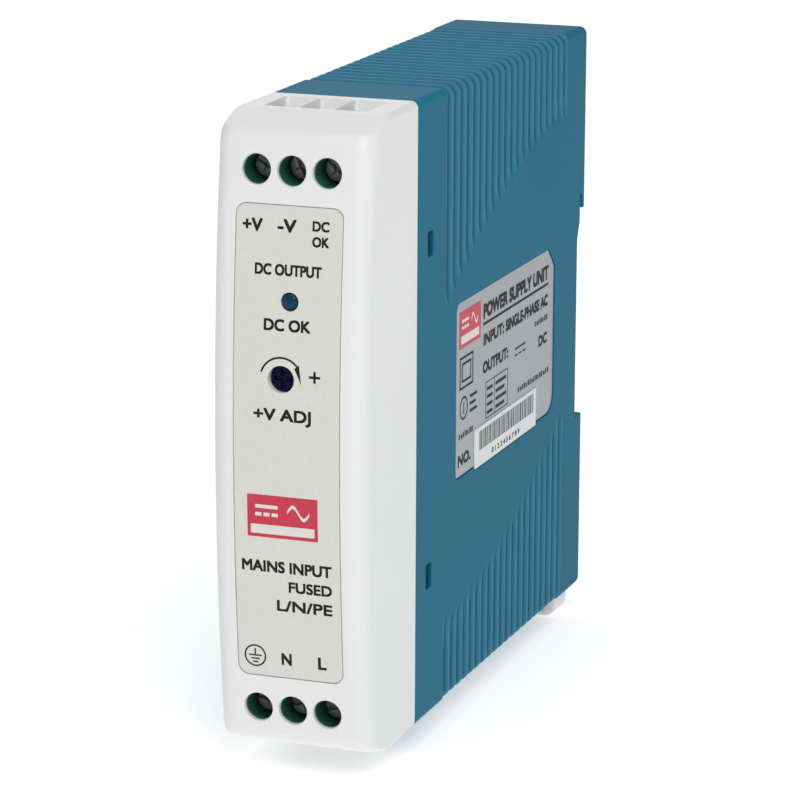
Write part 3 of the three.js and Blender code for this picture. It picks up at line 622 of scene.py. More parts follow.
def section_points():
    """The case's section: (x, z), with fine steps where grooves run out, and its inward normals."""
    coarse = np.linspace(EDGE_RADIUS, HEIGHT - EDGE_RADIUS, 12)
    low = np.arange(HEIGHT - groove_end(GROOVE_COUNT - 1) - 1, HEIGHT - GROOVE_REACH + 4, SIDE_STEP)
    high = HEIGHT - low[::-1]
    between = (coarse > low[-1] + 1) & (coarse < high[0] - 1)
    plain = coarse[(coarse < low[0] - 1) | (coarse > high[-1] + 1) | between]
    bend = np.linspace(HEIGHT - RIB_CORNER - BEND_MARGIN, HEIGHT - EDGE_RADIUS, 6)[:-1]
    heights = np.unique(np.concatenate([plain, low, high, bend, HEIGHT - bend]))
    r = EDGE_RADIUS
    w = HALF_HOUSING
    right = [(w, z, -1.0, 0.0) for z in heights]
    for a in np.linspace(0, np.pi / 2, 8)[1:]:
        right.append((w - r + r * math.cos(a), HEIGHT - r + r * math.sin(a), -math.cos(a), -math.sin(a)))
    bend_end = w - RIB_CORNER - BEND_MARGIN
    across = np.concatenate([np.linspace(w - r, bend_end, 6), np.linspace(bend_end, 0, 5)[1:]])
    right += [(x, HEIGHT, 0.0, -1.0) for x in across[1:]]
    left = [(-x, z, -nx, nz) for x, z, nx, nz in right[::-1]][1:]
    bottom_left = [(x, HEIGHT - z, nx, -nz) for x, z, nx, nz in left[::-1] if z > heights[-1]]
    bottom_right = [(x, HEIGHT - z, nx, -nz) for x, z, nx, nz in right[::-1] if z > heights[-1]][1:]
    return np.array(right + left + bottom_left + bottom_right)


def run_share(rise):
    """0 below a groove's run-out and 1 where the groove has its full depth."""
    return np.clip(rise / RUN_OUT, 0, 1)


def rounder(x, z, radius, depth):
    """Section points brought in to a rounder corner, less a depth."""
    over_x = np.abs(x) - (HALF_HOUSING - radius)
    over_z = np.abs(z - MID) - (MID - radius)
    reach = np.maximum(np.hypot(over_x, over_z), 1e-6)
    corner = (over_x > 0) & (over_z > 0) & (reach > radius - depth)
    factor = (radius - depth) / reach
    x = np.where(corner, np.sign(x) * (HALF_HOUSING - radius + over_x * factor), x)
    z = np.where(corner, MID + np.sign(z - MID) * (MID - radius + over_z * factor), z)
    return x, z


def ribbed_skin():
    x, z, nx, nz = section_points().T
    rings = []

    def ring(y, depth=0.0, shrink_x=0.0, shrink_z=0.0, corner=EDGE_RADIUS):
        far_x, far_z = x + nx * depth, z + nz * depth
        if corner > EDGE_RADIUS:
            far_x, far_z = rounder(far_x, far_z, corner, depth)
        far_x = far_x * (1 - shrink_x / HALF_HOUSING)
        far_z = MID + (far_z - MID) * (1 - shrink_z / MID)
        rings.append(placed(np.stack([far_x, far_z], axis=1), "y", y))

    for a in np.linspace(0, np.pi / 2, 4):
        shrink = SEAM_LIP * (1 - math.sin(a))
        ring(SEAM + SEAM_LIP * (1 - math.cos(a)), 0, shrink, shrink)
    for y in np.linspace(SEAM + 1, GROOVE_FIRST - GROOVE_HALF - 0.8, 8):
        ring(y)
    last = GROOVE_COUNT - 1
    for k in range(GROOVE_COUNT):
        centre = GROOVE_FIRST + GROOVE_PITCH * k
        upper = run_share(z - groove_end(k))
        lower = run_share(HEIGHT - groove_end(last - k) - z)
        deep = np.sin(np.maximum(upper, lower) * np.pi / 2)
        width = np.maximum(deep**0.6, 0.05)
        for step in GROOVE_STEPS:
            profile = 0.5 + 0.5 * math.cos(math.pi * step)
            onset = min(1.0, 1 + step) if k == 0 else 1.0
            onset = min(onset, 1 - step) if k == last else onset
            corner = EDGE_RADIUS + (RIB_CORNER - EDGE_RADIUS) * onset
            ring(centre + step * GROOVE_HALF * width, GROOVE_DEPTH * deep * profile, corner=corner)
        if k < last:
            ring(centre + GROOVE_PITCH / 2, corner=RIB_CORNER)
    for y in np.linspace(GROOVE_LAST + GROOVE_HALF + 0.6, DEPTH - REAR_RADIUS, 5):
        ring(y)
    for a in np.linspace(0, np.pi / 2, 9)[1:]:
        back = REAR_RADIUS * math.sin(a)
        side = max(0.0, back - (REAR_RADIUS - REAR_SIDE_RADIUS)) / REAR_SIDE_RADIUS
        shrink_x = REAR_SIDE_RADIUS * (1 - math.sqrt(max(0.0, 1 - side**2)))
        ring(DEPTH - REAR_RADIUS + back, 0, shrink_x, REAR_RADIUS * (1 - math.cos(a)))
    return loft("rear_housing_skin", rings)


RAIL_SEAT = -CASE_ORIGIN[1]
RAIL_MIDDLE = -CASE_ORIGIN[2]
RAIL_HALF = 17.5
PLAY = 0.3
RAIL_BOTTOM = RAIL_MIDDLE - RAIL_HALF
RAIL_TOP = RAIL_MIDDLE + RAIL_HALF
STEP_Z = RAIL_BOTTOM - PLAY
SLOT_TOP = RAIL_TOP + PLAY
HOOK_TIP = RAIL_TOP - 2.0
RECESS_FLOOR = 96.2
SLOT_REAR = RAIL_SEAT + 1.2
PAD_BOTTOM = RAIL_TOP - 3.9
RIM = -0.25


def rail_recess():
    """Cutter of the room for the rail, below and behind the hook, from its side view."""
    beyond = DEPTH + 1.5
    outline = fillet([
        (beyond, STEP_Z, 0),
        (beyond, HOOK_TIP + 0.3, 0),
        (DEPTH - 0.05, HOOK_TIP, 0.55),
        (SLOT_REAR, HOOK_TIP, 0.55),
        (SLOT_REAR, SLOT_TOP, 0.3),
        (RAIL_SEAT, SLOT_TOP, 0.3),
        (RAIL_SEAT, PAD_BOTTOM, 2.5),
        (RECESS_FLOOR, PAD_BOTTOM - 2.7, 2.5),
        (RECESS_FLOOR, STEP_Z, 0.4),
    ])
    return prism("rail_recess", outline, "x", -HALF_HOUSING, HALF_HOUSING, RIM, RIM, 3)


# a snap's window in the side wall: front, rear, bottom and top
SNAPS = ((26.0, 28.4, 67.3, 70.9), (26.0, 28.4, 19.1, 22.7))
LABEL_GAP = 0.15
label_low, label_high = case_box("rating_label")
sticker_low, sticker_high = case_box("barcode_label")


def side_label_outline(margin):
    f, b = label_low[1] - margin, label_high[1] + margin
    d, t = label_low[2] - margin, label_high[2] + margin
    return fillet([(f, d, 1.0), (b, d, 3), (b, t - 3, 0.15), (b - 3, t, 0.15), (f, t, 1.5)])


CHANNEL_HALF = 9.5
MOUTH_HALF = 7.7
CHANNEL_FLOOR = 95.0
CHANNEL_LIP = 98.6
HOLLOW_FRONT = 90
CAVITY_CORNER = 0.6
BELOW = -1
LATCH_REAR = 98.4
LEDGE_HALF = 2.2
LEDGE_LOW = 8.4
LEDGE_HIGH = 9.6
SIDE_RECESS = 0.42


def rear_housing():
    outer = HALF_HOUSING
    inner = outer - WALL
    top = HEIGHT - WALL
    cavity = rectangle(-inner, inner, WALL, top, CAVITY_CORNER)
    hollow = rectangle(-inner, inner, SLOT_TOP + WALL, top, CAVITY_CORNER)
    tools = [
        prism("cavity", cavity, "y", SEAM - 1, CHANNEL_FLOOR - WALL),
        prism("hollow", hollow, "y", HOLLOW_FRONT, DEPTH - WALL),
        rail_recess(),
    ]
    tail = rectangle(
        sticker_low[1] - LABEL_GAP, sticker_high[1] + LABEL_GAP,
        sticker_low[2] - LABEL_GAP, sticker_high[2], 0.3,
    )
    for outline in (side_label_outline(LABEL_GAP), tail):
        tools.append(prism("recess", outline, "x", outer - SIDE_RECESS, outer, 0, -0.08, 2))
    for snap in SNAPS:
        window = prism("window", rectangle(*snap, 0.35), "x", inner - 1, outer, 0, -0.15, 2)
        tools += [window, mirrored(copied(window))]
    channel = (-CHANNEL_HALF, CHANNEL_HALF, CHANNEL_FLOOR, CHANNEL_LIP, BELOW, STEP_Z + 0.01)
    mouth = rectangle(-MOUTH_HALF, MOUTH_HALF, BELOW, STEP_Z + 1.2, 0.01)
    tools += [
        block("channel", *channel, 0, 0.01),
        prism("mouth", mouth, "y", CHANNEL_FLOOR, DEPTH, 0, -0.3, 3),
    ]
    ledge = (-LEDGE_HALF, LEDGE_HALF, CHANNEL_FLOOR - 0.5, LATCH_REAR - 0.2, LEDGE_LOW, LEDGE_HIGH)
    return fuse(cut(ribbed_skin(), *tools), block("ledge", *ledge, 0.2, 0.25))


settle(rear_housing(), "housing_shell", "housing_blue", ["rear_housing"], sharp=18)

# ---------- front cover ----------

CHAMFER_DEPTH = 6.4
CHAMFER_DROP = 2.3
CHAMFER_BLEND = 3.0
TOP_BLEND = 1.2
UPRIGHT_RADIUS = 2.6


def front_line(inset=0.0, front_inset=0.0):
    """Side view of the cover's front from the bottom up: (y, z) points with z rising."""
    corner_z = HEIGHT - CHAMFER_DROP
    corner_y = float(bow(corner_z))
    upper = fillet([
        (SEAM, MID, 0),
        *[(float(bow(z)), z, 0) for z in np.linspace(MID, HEIGHT - 12.0, 18)],
        (corner_y, corner_z - inset, CHAMFER_BLEND),
        (corner_y + CHAMFER_DEPTH, HEIGHT - inset, TOP_BLEND),
        (SEAM, HEIGHT - inset, 0),
    ], 10)[1:-1]
    upper[:, 0] += front_inset
    lower = upper[:0:-1] * (1, -1) + (0, HEIGHT)
    return np.concatenate([lower, upper])


def edge_shrink(z):
    """How much the case's rounded edges narrow a level near its top or bottom."""
    near = min(z, HEIGHT - z)
    if near >= EDGE_RADIUS:
        return 0.0
    return EDGE_RADIUS - math.sqrt(max(0.0, EDGE_RADIUS**2 - (EDGE_RADIUS - near) ** 2))


def cover_level(front, z, inset, back):
    """Top view of the cover at a height: flared sides, rounded uprights and the front."""
    narrow = inset + edge_shrink(z)
    rear_half = HALF_HOUSING - narrow
    front_half = HALF_COVER - narrow
    radius = max(UPRIGHT_RADIUS - inset, 0.8)
    ring = []
    for t in np.linspace(0, 1, 12)[:-1]:
        ring.append((rear_half + (front_half - rear_half) * t, back + (front + radius - back) * t))
    for a in np.linspace(0, np.pi / 2, 9):
        ring.append((front_half - radius + radius * math.cos(a), front + radius - radius * math.sin(a)))
    ring += [(x, front) for x in np.linspace(front_half - radius, 0, 14)[1:]]
    ring += [(-x, y) for x, y in ring[::-1]][1:]
    return placed(np.array(ring), "z", z)


def cover_body(name, inset, front_inset, back):
    fronts, heights = front_line(inset, front_inset).T
    edge = np.linspace(0, EDGE_RADIUS, 7)[1:-1]
    levels = np.concatenate([heights, edge, HEIGHT - edge])
    levels = sorted(set(round(float(z), 5) for z in levels if inset <= z <= HEIGHT - inset))
    return loft(name, [cover_level(float(np.interp(z, heights, fronts)), z, inset, back) for z in levels])


def bow_slab(name, half, bottom, top, radius, near, far, edge=0.0, rows=36):
    """A plate that follows the front face between two depths, its front edges at the sides chamfered."""
    arc = np.linspace(0, np.pi / 2, 7)
    heights = [(bottom + radius * (1 - math.cos(a)), half - radius * (1 - math.sin(a))) for a in arc]
    heights += [(z, half) for z in np.linspace(bottom + radius, top - radius, rows)[1:-1]]
    heights += [(top - radius * (1 - math.cos(a)), half - radius * (1 - math.sin(a))) for a in arc[::-1]]
    rings = []
    for z, w in heights:
        y = float(bow(z))
        ring = [(w, far), (w, near + edge), (w - edge, near)]
        ring += [(-x, depth) for x, depth in ring[::-1]]
        rings.append([(x, y + depth, z) for x, depth in ring])
    return loft(name, rings)


front_low, front_high = case_box("front_label")
LABEL_HALF = front_high[0]
LABEL_BOTTOM = front_low[2]
LABEL_TOP = front_high[2]
LABEL_RADIUS = 1.5
LABEL_RECESS = 0.3
LABEL_FACE = 0.05
POLE_PITCH = 5.08
POLE_XS = (-POLE_PITCH, 0.0, POLE_PITCH)
SCREW_Z = MID + 37.8
HOLE_RADIUS = 2.08
led_low, led_high = case_box("indicator_led")
LED_X, _, LED_Z = (led_low + led_high) / 2
LED_RADIUS = 1.2
rotor_low, rotor_high = case_box("trimmer_rotor")
ROTOR_X, _, ROTOR_Z = (rotor_low + rotor_high) / 2
ROTOR_RADIUS = (rotor_high[0] - rotor_low[0]) / 2
ROTOR_HOLE = ROTOR_RADIUS + 0.2
PROUD = -0.5
POCKET_WALL = 0.8
POCKET_REAR = 3.0
POCKET_HALF = 8.2
POCKET_RISE = 2.9
FUNNEL_TOP_HALF = 2.36
FUNNEL_TOP = (10.9, 19.4)
FUNNEL_HALF = 2.1
FUNNEL_THROAT = (13.2, 18.1)


def round_hole(x, z, radius, near, far, rim=0.0):
    return prism("hole", circle(x, z, radius), "y", near, far, rim, 0, 3, bowed)


def funnel(x):
    """Cutter of a wire entry: a wide mouth in the top wall that narrows towards the clamp."""
    top = rectangle(x - FUNNEL_TOP_HALF, x + FUNNEL_TOP_HALF, *FUNNEL_TOP, 0.5, 3)
    throat = rectangle(x - FUNNEL_HALF, x + FUNNEL_HALF, *FUNNEL_THROAT, 0.5, 3)
    above = offset(top, 0.15)
    levels = ((above, -0.3), (above, -0.01), (top, 0.15), (throat, 2.1), (throat, 3.5))
    return loft("funnel", [placed(flat, "z", HEIGHT - down) for flat, down in levels])


def snap_tongue(front, rear, low, high):
    """A tongue that reaches behind the seam, with a catch that stands in the housing's window."""
    parts = []
    for name, x0, x1, y0, y1 in (
        ("arm", -1.4, -0.15, SEAM - 1, rear - 0.4),
        ("catch", -0.6, 0.5, front + 0.3, front + 1.3),
        ("root", -1.4, 0.6, SEAM - 5, SEAM - 0.1),
    ):
        inner = HALF_HOUSING - WALL
        parts.append(block(name, inner + x0, inner + x1, y0, y1, low + 0.5, high - 0.5, 0.15, 0.2))
    return fuse(*parts)


def front_cover():
    back = SEAM - 2 * SEAM_GAP
    label = (LABEL_HALF + LABEL_GAP, LABEL_BOTTOM - LABEL_GAP, LABEL_TOP + LABEL_GAP)
    holes = [
        cover_body("inside", WALL, FRONT_WALL, back + 1),
        bow_slab("label_recess", *label, LABEL_RADIUS, PROUD, LABEL_RECESS),
        round_hole(LED_X, LED_Z, LED_RADIUS + 0.15, PROUD, 8),
        round_hole(ROTOR_X, ROTOR_Z, ROTOR_HOLE, PROUD, 8),
    ]
    pocket = (POCKET_HALF, SCREW_Z - POCKET_RISE, SCREW_Z + POCKET_RISE, 0.5, POCKET_WALL, POCKET_REAR)
    for _, orient in ROWS:
        holes.append(orient(bow_slab("pocket", *pocket, rows=8)))
        for x in POLE_XS:
            holes.append(orient(round_hole(x, SCREW_Z, HOLE_RADIUS, 0, 6, RIM)))
            holes.append(orient(funnel(x)))
    cover = cut(cover_body("cover", 0, 0, back), *holes)
    for snap in SNAPS:
        tongue = snap_tongue(*snap)
        mirror = mirrored(copied(tongue))
        fuse(cover, tongue, mirror)
    return cover


settle(front_cover(), "cover_shell", "cover_white", ["front_cover"])

# ---------- front label and its printing ----------

INK = 0.02
CAPITAL = 0.73
BOLD_SHIFTS = ((0, 0), (1, 1), (-1, -1), (1, -1), (-1, 1))
NEARLY_ROUND = 359.9


def front_label():
    plate = bow_slab(
        "label", LABEL_HALF, LABEL_BOTTOM, LABEL_TOP, LABEL_RADIUS, LABEL_FACE, LABEL_RECESS - 0.05, 0.04,
    )
    return cut(
        plate,
        round_hole(LED_X, LED_Z, LED_RADIUS + 0.1, PROUD, 2),
        round_hole(ROTOR_X, ROTOR_Z, ROTOR_HOLE - 0.05, PROUD, 2),
    )


settle(front_label(), "label_plate", "label_face", ["front_label"])


class Sheet:
    """Flat print: shapes in a plane (u to the right, v up), each a closed thin solid."""

    def __init__(self):
        self.parts = []

    def outline(self, points):
        self.parts.append(prism("ink", np.array(points, float), "z", 0, INK))

    def bar(self, u0, u1, v0, v1, radius=0.0):
        self.outline(rectangle(u0, u1, v0, v1, radius, 3))

    def arc(self, u, v, radius, width, start, end, steps=40):
        far, near = radius + width / 2, radius - width / 2
        section = ((far, 0), (far, INK), (near, INK), (near, 0))
        rings = []
        for a in np.radians(np.linspace(start, end, steps)):
            rings.append([(u + r * math.cos(a), v + r * math.sin(a), w) for r, w in section])
        self.parts.append(loft("ink", rings))

    def words(self, text, u, v, size, width, align="CENTER", bold=0.045):
        """Bold letters whose capitals are size tall, standing on the line v, stretched to a width."""
        curve = bpy.data.curves.new("words", "FONT")
        curve.body = text
        curve.size = 1.0
        curve.extrude = 0.5
        curve.resolution_u = 5
        holder = linked("words", curve)
        bpy.context.view_layer.update()
        mesh = evaluated(holder)
        bpy.data.objects.remove(holder)
        low = min(vertex.co.x for vertex in mesh.vertices)
        high = max(vertex.co.x for vertex in mesh.vertices)
        tall = size / CAPITAL
        wide = width / (high - low)
        left = u - wide * {"LEFT": low, "CENTER": (low + high) / 2, "RIGHT": high}[align]
        for step, (aside, above) in enumerate(BOLD_SHIFTS):
            copy = mesh.copy()
            thick = INK * (1 - 0.08 * step)
            place = Matrix.Translation((left + aside * bold * size, v + above * bold * size, thick / 2))
            copy.transform(place @ Matrix.Diagonal((wide, tall, thick, 1)))
            self.parts.append(linked("words", copy))

    def lay(self, name, slot, look, place):
        """Joins the print; a rule places each point (u, v, height above the sheet)."""
        obj = join(name, self.parts)
        for vertex in obj.data.vertices:
            vertex.co = place(*vertex.co)
        obj.data.update()
        settle(obj, name, slot, look=look)

    def on_front(self, name, look, lift=0.0):
        self.lay(name, "label_face", look, lambda u, v, w: (u, float(bow(v)) + LABEL_FACE - lift - w, v))

    def on_side(self, name, look, slot, face):
        self.lay(name, slot, look, lambda u, v, w: (face + w, u, v))


ARROW_RADIUS = 2.95
ARROW_HALF = 0.42
PLUS_X, PLUS_Z = 4.06, 55.26
EARTH_X, EARTH_Z = -5.18, 14.9
TEXT_EDGE = 6.35


def front_print():
    """Words as (text, x, z, height, width), and three plain signs."""
    ink = Sheet()
    for word in (
        ("+V", -5.3, 74.6, 1.75, 2.75), ("-V", -0.33, 74.7, 1.75, 2.55), ("DC", 4.53, 75.1, 1.35, 2.3),
        ("OK", 4.55, 73.0, 1.35, 2.3), ("DC OUTPUT", 0.0, 68.85, 1.5, 9.5), ("DC OK", 0.0, 61.3, 1.6, 6.6),
        ("+V ADJ", -0.6, 48.9, 1.65, 8.2), ("N", -0.55, 14.0, 1.7, 1.35), ("L", 4.7, 13.9, 1.75, 1.1),
    ):
        ink.words(*word)
    for text, v, size, width in (
        ("MAINS INPUT", 27.4, 1.6, 13.0), ("FUSED", 24.7, 1.5, 6.2), ("L/N/PE", 21.9, 1.55, 8.0),
    ):
        ink.words(text, TEXT_EDGE, v, size, width, "RIGHT")
    turning_arrow(ink)
    for across, up in ((0.8, 0.17), (0.17, 0.8)):
        ink.bar(PLUS_X - across, PLUS_X + across, PLUS_Z - up, PLUS_Z + up)
    earth_sign(ink)
    ink.on_front("label_marks", black_ink)


def turning_arrow(ink):
    """An arc around the trimmer that ends in a slim arrowhead."""
    ink.arc(ROTOR_X, ROTOR_Z, 3.0, 0.26, 163, 36)
    tip = math.radians(-9)
    base = math.radians(40)
    points = [(ARROW_RADIUS - ARROW_HALF, base), (ARROW_RADIUS, tip), (ARROW_RADIUS + ARROW_HALF, base)]
    ink.outline([(ROTOR_X + r * math.cos(a), ROTOR_Z + r * math.sin(a)) for r, a in points])


def earth_sign(ink):
    ink.arc(EARTH_X, EARTH_Z, 1.5, 0.22, 0, NEARLY_ROUND, 60)
    ink.bar(EARTH_X - 0.1, EARTH_X + 0.1, EARTH_Z + 0.15, EARTH_Z + 1.05)
    for step, reach in enumerate((0.95, 0.65, 0.4)):
        level = EARTH_Z - 0.05 - 0.48 * step
        ink.bar(EARTH_X - reach, EARTH_X + reach, level, level + 0.19)


def current_symbol(pale, left, low, unit):
    """A generic mains-to-direct-current symbol: a long bar over three short ones, and a wave."""
    pale.bar(left, left + 3.3 * unit, low + 1.5 * unit, low + 2.0 * unit)
    for step in range(3):
        start = left + 1.2 * step * unit
        pale.bar(start, start + 0.9 * unit, low + 0.4 * unit, low + 0.9 * unit)
    wave = []
    for t in np.linspace(0, 1, 30):
        wave.append((left + (4.7 + 3.2 * t) * unit, low + (1.2 + 0.85 * math.sin(2 * math.pi * t)) * unit))
    half = 0.25 * unit
    pale.outline([(u, v - half) for u, v in wave] + [(u, v + half) for u, v in wave[::-1]])


def front_emblem():
    """A plain red panel with a generic current symbol."""
    red = Sheet()
    red.bar(-5.78, 4.5, 32.3, 38.3, 0.1)
    red.on_front("emblem_panel", red_ink)
    pale = Sheet()
    current_symbol(pale, -4.6, 34.9, 1.0)
    pale.bar(-5.28, 4.03, 32.8, 34.1, 0.08)
    pale.on_front("emblem_symbol", pale_ink, INK)


front_print()
front_emblem()

# ---------- rating label and sticker on the right side ----------


def side_labels():
    paper = rectangle(sticker_low[1], sticker_high[1], sticker_low[2], sticker_high[2], 0.25, 3)
    plate = prism("rating", side_label_outline(0), "x", label_low[0], label_high[0], 0, 0.05, 2)
    sticker = prism("sticker", paper, "x", sticker_low[0], sticker_high[0], 0, 0.03, 2)
    settle(plate, "rating_plate", "label_silver", ["rating_label"])
    settle(sticker, "sticker_sheet", "sticker_paper", ["barcode_label"])


def side_print():
    """Marks on the rating label; u is the depth behind the front, v the height."""
    ink = Sheet()
    for word in (
        ("POWER SUPPLY UNIT", 51.2, 53.5, 2.05, 30.7), ("INPUT:", 51.3, 49.4, 1.65, 9.2),
        ("SINGLE-PHASE AC", 61.6, 49.4, 1.65, 20.1), ("OUTPUT:", 51.1, 45.2, 1.65, 11.5),
        ("DC", 77.6, 43.6, 1.6, 4.0), ("NO.", 40.2, 33.7, 1.6, 5.4),
    ):
        ink.words(*word, "LEFT", 0.075)
    ink.bar(51.0, 82.0, 52.4, 52.8)
    ink.bar(66.0, 71.0, 45.5, 45.8)
    for u in (66.0, 67.9, 69.8):
        ink.bar(u, u + 1.2, 44.5, 44.8)
    small_print(ink)
    plain_table(ink)
    double_square(ink)
    ink.arc(42.5, 42.0, 1.6, 0.32, 0, NEARLY_ROUND, 48)
    ink.bar(42.32, 42.68, 41.1, 42.9)
    for row in range(3):
        ink.bar(45.2, 48.4 - 0.6 * (row % 2), 42.9 - row * 1.1, 43.35 - row * 1.1)
    ink.on_side("rating_marks", black_ink, "label_silver", label_high[0])


def small_print(ink):
    """Rows of little bars where the smallest lines of text would be."""
    for start, end, level in ((75.5, 82.0, 47.1), (67.6, 82.4, 38.6), (67.6, 75.0, 36.6), (40.4, 47.0, 37.6)):
        for k, u in enumerate(np.arange(start, end - 0.5, 0.95)):
            ink.bar(u, u + 0.5 + 0.15 * (k % 2), level, level + 0.85 - 0.2 * (k % 3 == 1))


def plain_table(ink):
    """A framed table of bars in place of marks."""
    for u in (52.4, 56.3, 62.55):
        ink.bar(u, u + 0.15, 38.0, 43.6)
    for v in (38.0, 43.45):
        ink.bar(52.4, 62.7, v, v + 0.15)
    for row in range(4):
        level = 42.2 - row * 1.2
        ink.bar(53.0, 55.6, level, level + 0.5)
        ink.bar(57.0, 61.9 - 0.8 * (row % 2), level, level + 0.5)


def double_square(ink):
    thick = 0.35
    for inset in (0.0, 0.95):
        u0, u1 = 40.6 + inset, 46.6 - inset
        v0, v1 = 44.9 + inset, 49.7 - inset
        ink.bar(u0, u1, v0, v0 + thick)
        ink.bar(u0, u1, v1 - thick, v1)
        ink.bar(u0, u0 + thick, v0, v1)
        ink.bar(u1 - thick, u1, v0, v1)


def side_emblem():
    """The front's emblem again, smaller."""
    red = Sheet()
    red.bar(40.3, 49.8, 51.0, 56.5, 0.15)
    red.on_side("rating_panel", red_ink, "label_silver", label_high[0])
    pale = Sheet()
    current_symbol(pale, 41.4, 53.4, 0.9)
    pale.bar(41.1, 49.0, 51.6, 52.8, 0.08)
    pale.on_side("rating_symbol", pale_ink, "label_silver", label_high[0] + INK)


def sticker_print():
    """Bars whose widths follow a formula, and a row of plain digits."""
    ink = Sheet()
    widths = [(11 * k * k + 5 * k) % 7 for k in range(44)]
    u, end = 49.2, 75.0
    unit = (end - u) / sum(1.35 + 0.3 * w for w in widths)
    for width in widths:
        thick = unit * (0.45 + 0.2 * width)
        ink.bar(u, u + thick, 34.0, 36.9)
        u += thick + unit * (0.9 + 0.1 * width)
    ink.words("0 1 2 3 4 5 6 7 8 9", 55.0, 32.3, 0.8, 13.0, "LEFT")
    ink.on_side("sticker_marks", black_ink, "sticker_paper", sticker_high[0])


side_labels()
side_print()
side_emblem()
sticker_print()

# ---------- rail latch and spring ----------

latch_low, latch_high = case_box("rail_latch")
_, FOOT_FRONT, FOOT_BOTTOM = latch_low
LATCH_HALF = latch_high[0]
PLATE_FRONT = 95.2
PLATE_TOP = STEP_Z - 0.5
WINDOW_HALF = 2.6
WINDOW_LOW = 8.0
WINDOW_HIGH = 21.9
NOSE_TIP = RAIL_BOTTOM + 1.6


def latch_nose():
    """The wedge that snaps over the rail's lower flange, from its side view."""
    front = RAIL_SEAT + 1.15
    rear = DEPTH - 0.1
    root = LATCH_REAR - 0.4
    half = MOUTH_HALF - 0.3
    outline = fillet([
        (root, 23.5, 0), (LATCH_REAR + 0.2, 23.5, 0.2), (rear, 25.2, 0.3), (rear, RAIL_BOTTOM - 0.4, 0.3),
        (front + 0.2, NOSE_TIP, 0.08), (front, NOSE_TIP, 0.05), (front, PLATE_TOP, 0), (root, PLATE_TOP, 0),
    ], 3)
    return prism("latch_nose", outline, "x", -half, half, 0.15, 0.15)


def rail_latch():
    """A sliding plate with a nose above, a foot to pull at below, and a window for the spring."""
    plate = rectangle(-LATCH_HALF, LATCH_HALF, -2, PLATE_TOP, 0.4)
    foot = fillet([
        (-LATCH_HALF, FOOT_BOTTOM, 1.8), (LATCH_HALF, FOOT_BOTTOM, 1.8),
        (LATCH_HALF, -0.4, 0.4), (-LATCH_HALF, -0.4, 0.4),
    ])
    window = rectangle(-WINDOW_HALF, WINDOW_HALF, WINDOW_LOW, WINDOW_HIGH, 0.4)
    slot = rectangle(-7.4, 7.4, -3.0, -1.4, 0.25)
    slider = fuse(
        prism("latch_plate", plate, "y", PLATE_FRONT, LATCH_REAR, 0.2, 0.2),
        prism("latch_foot", foot, "y", FOOT_FRONT, LATCH_REAR, 0.45, 0.45, 4),
        latch_nose(),
    )
    return cut(
        slider,
        prism("window", window, "y", PLATE_FRONT, LATCH_REAR, -0.15, -0.15, 2),
        prism("slot", slot, "y", FOOT_FRONT, FOOT_FRONT + 3, -0.2, 0, 2),
    )


settle(rail_latch(), "latch_slider", "latch_plastic", ["rail_latch"], "latch")

SPRING_Y = 96.8
spring_low, spring_high = case_box("latch_spring")
SPRING_BOTTOM = spring_low[2]
SPRING_TOP = spring_high[2]
SPRING_RADIUS = 1.25
SPRING_TURNS = 8
FLAT_SHARE = 0.09
WIRE_RADIUS = 0.22


def swept(name, path, radius, sides=12):
    """Round wire along a path."""
    tangents = np.gradient(path, axis=0)
    tangents /= np.linalg.norm(tangents, axis=1)[:, None]
    side = np.cross(tangents[0], (0, 0, 1.0))
    rings = []
    angles = np.linspace(0, 2 * np.pi, sides, endpoint=False)
    for point, tangent in zip(path, tangents):
        side = side - tangent * side.dot(tangent)
        side /= np.linalg.norm(side)
        up = np.cross(tangent, side)
        rings.append([point + radius * (math.cos(a) * side + math.sin(a) * up) for a in angles])
    return loft(name, rings)


def latch_spring():
    """A coil that rises slowly at both ends, so that its last turns lie nearly flat."""
    t = np.linspace(0, 1, 340)
    rise = np.clip((t - FLAT_SHARE) / (1 - 2 * FLAT_SHARE), 0, 1) * 0.93 + 0.07 * t
    low = SPRING_BOTTOM + WIRE_RADIUS
    high = SPRING_TOP - WIRE_RADIUS
    angle = 2 * np.pi * SPRING_TURNS * t
    x = SPRING_RADIUS * np.cos(angle)
    y = SPRING_Y + SPRING_RADIUS * np.sin(angle)
    return swept("spring", np.stack([x, y, low + (high - low) * rise], axis=1), WIRE_RADIUS)


spring = settle(latch_spring(), "spring_coil", "spring_steel", ["latch_spring"])
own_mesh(spring)

# ---------- terminals ----------

BLOCK_FRONT = 4.3
BLOCK_REAR = 19.4
BLOCK_HALF = 8.0
BLOCK_BOTTOM = 76.8
BLOCK_TOP = 88.2
FACE_HALF = 7.9
FACE_RISE = 2.6
FACE_DEPTH = POCKET_WALL + 0.1
BORE = 2.0
CHAMBER_HALF = 2.15
CHAMBER_FRONT = 8.5
CHAMBER_REAR = 18.2
THROAT_FRONT = 13.2
LEG_HALF = 1.6
LEG_FRONT = 12.7
LEG_BOTTOM = 78.9


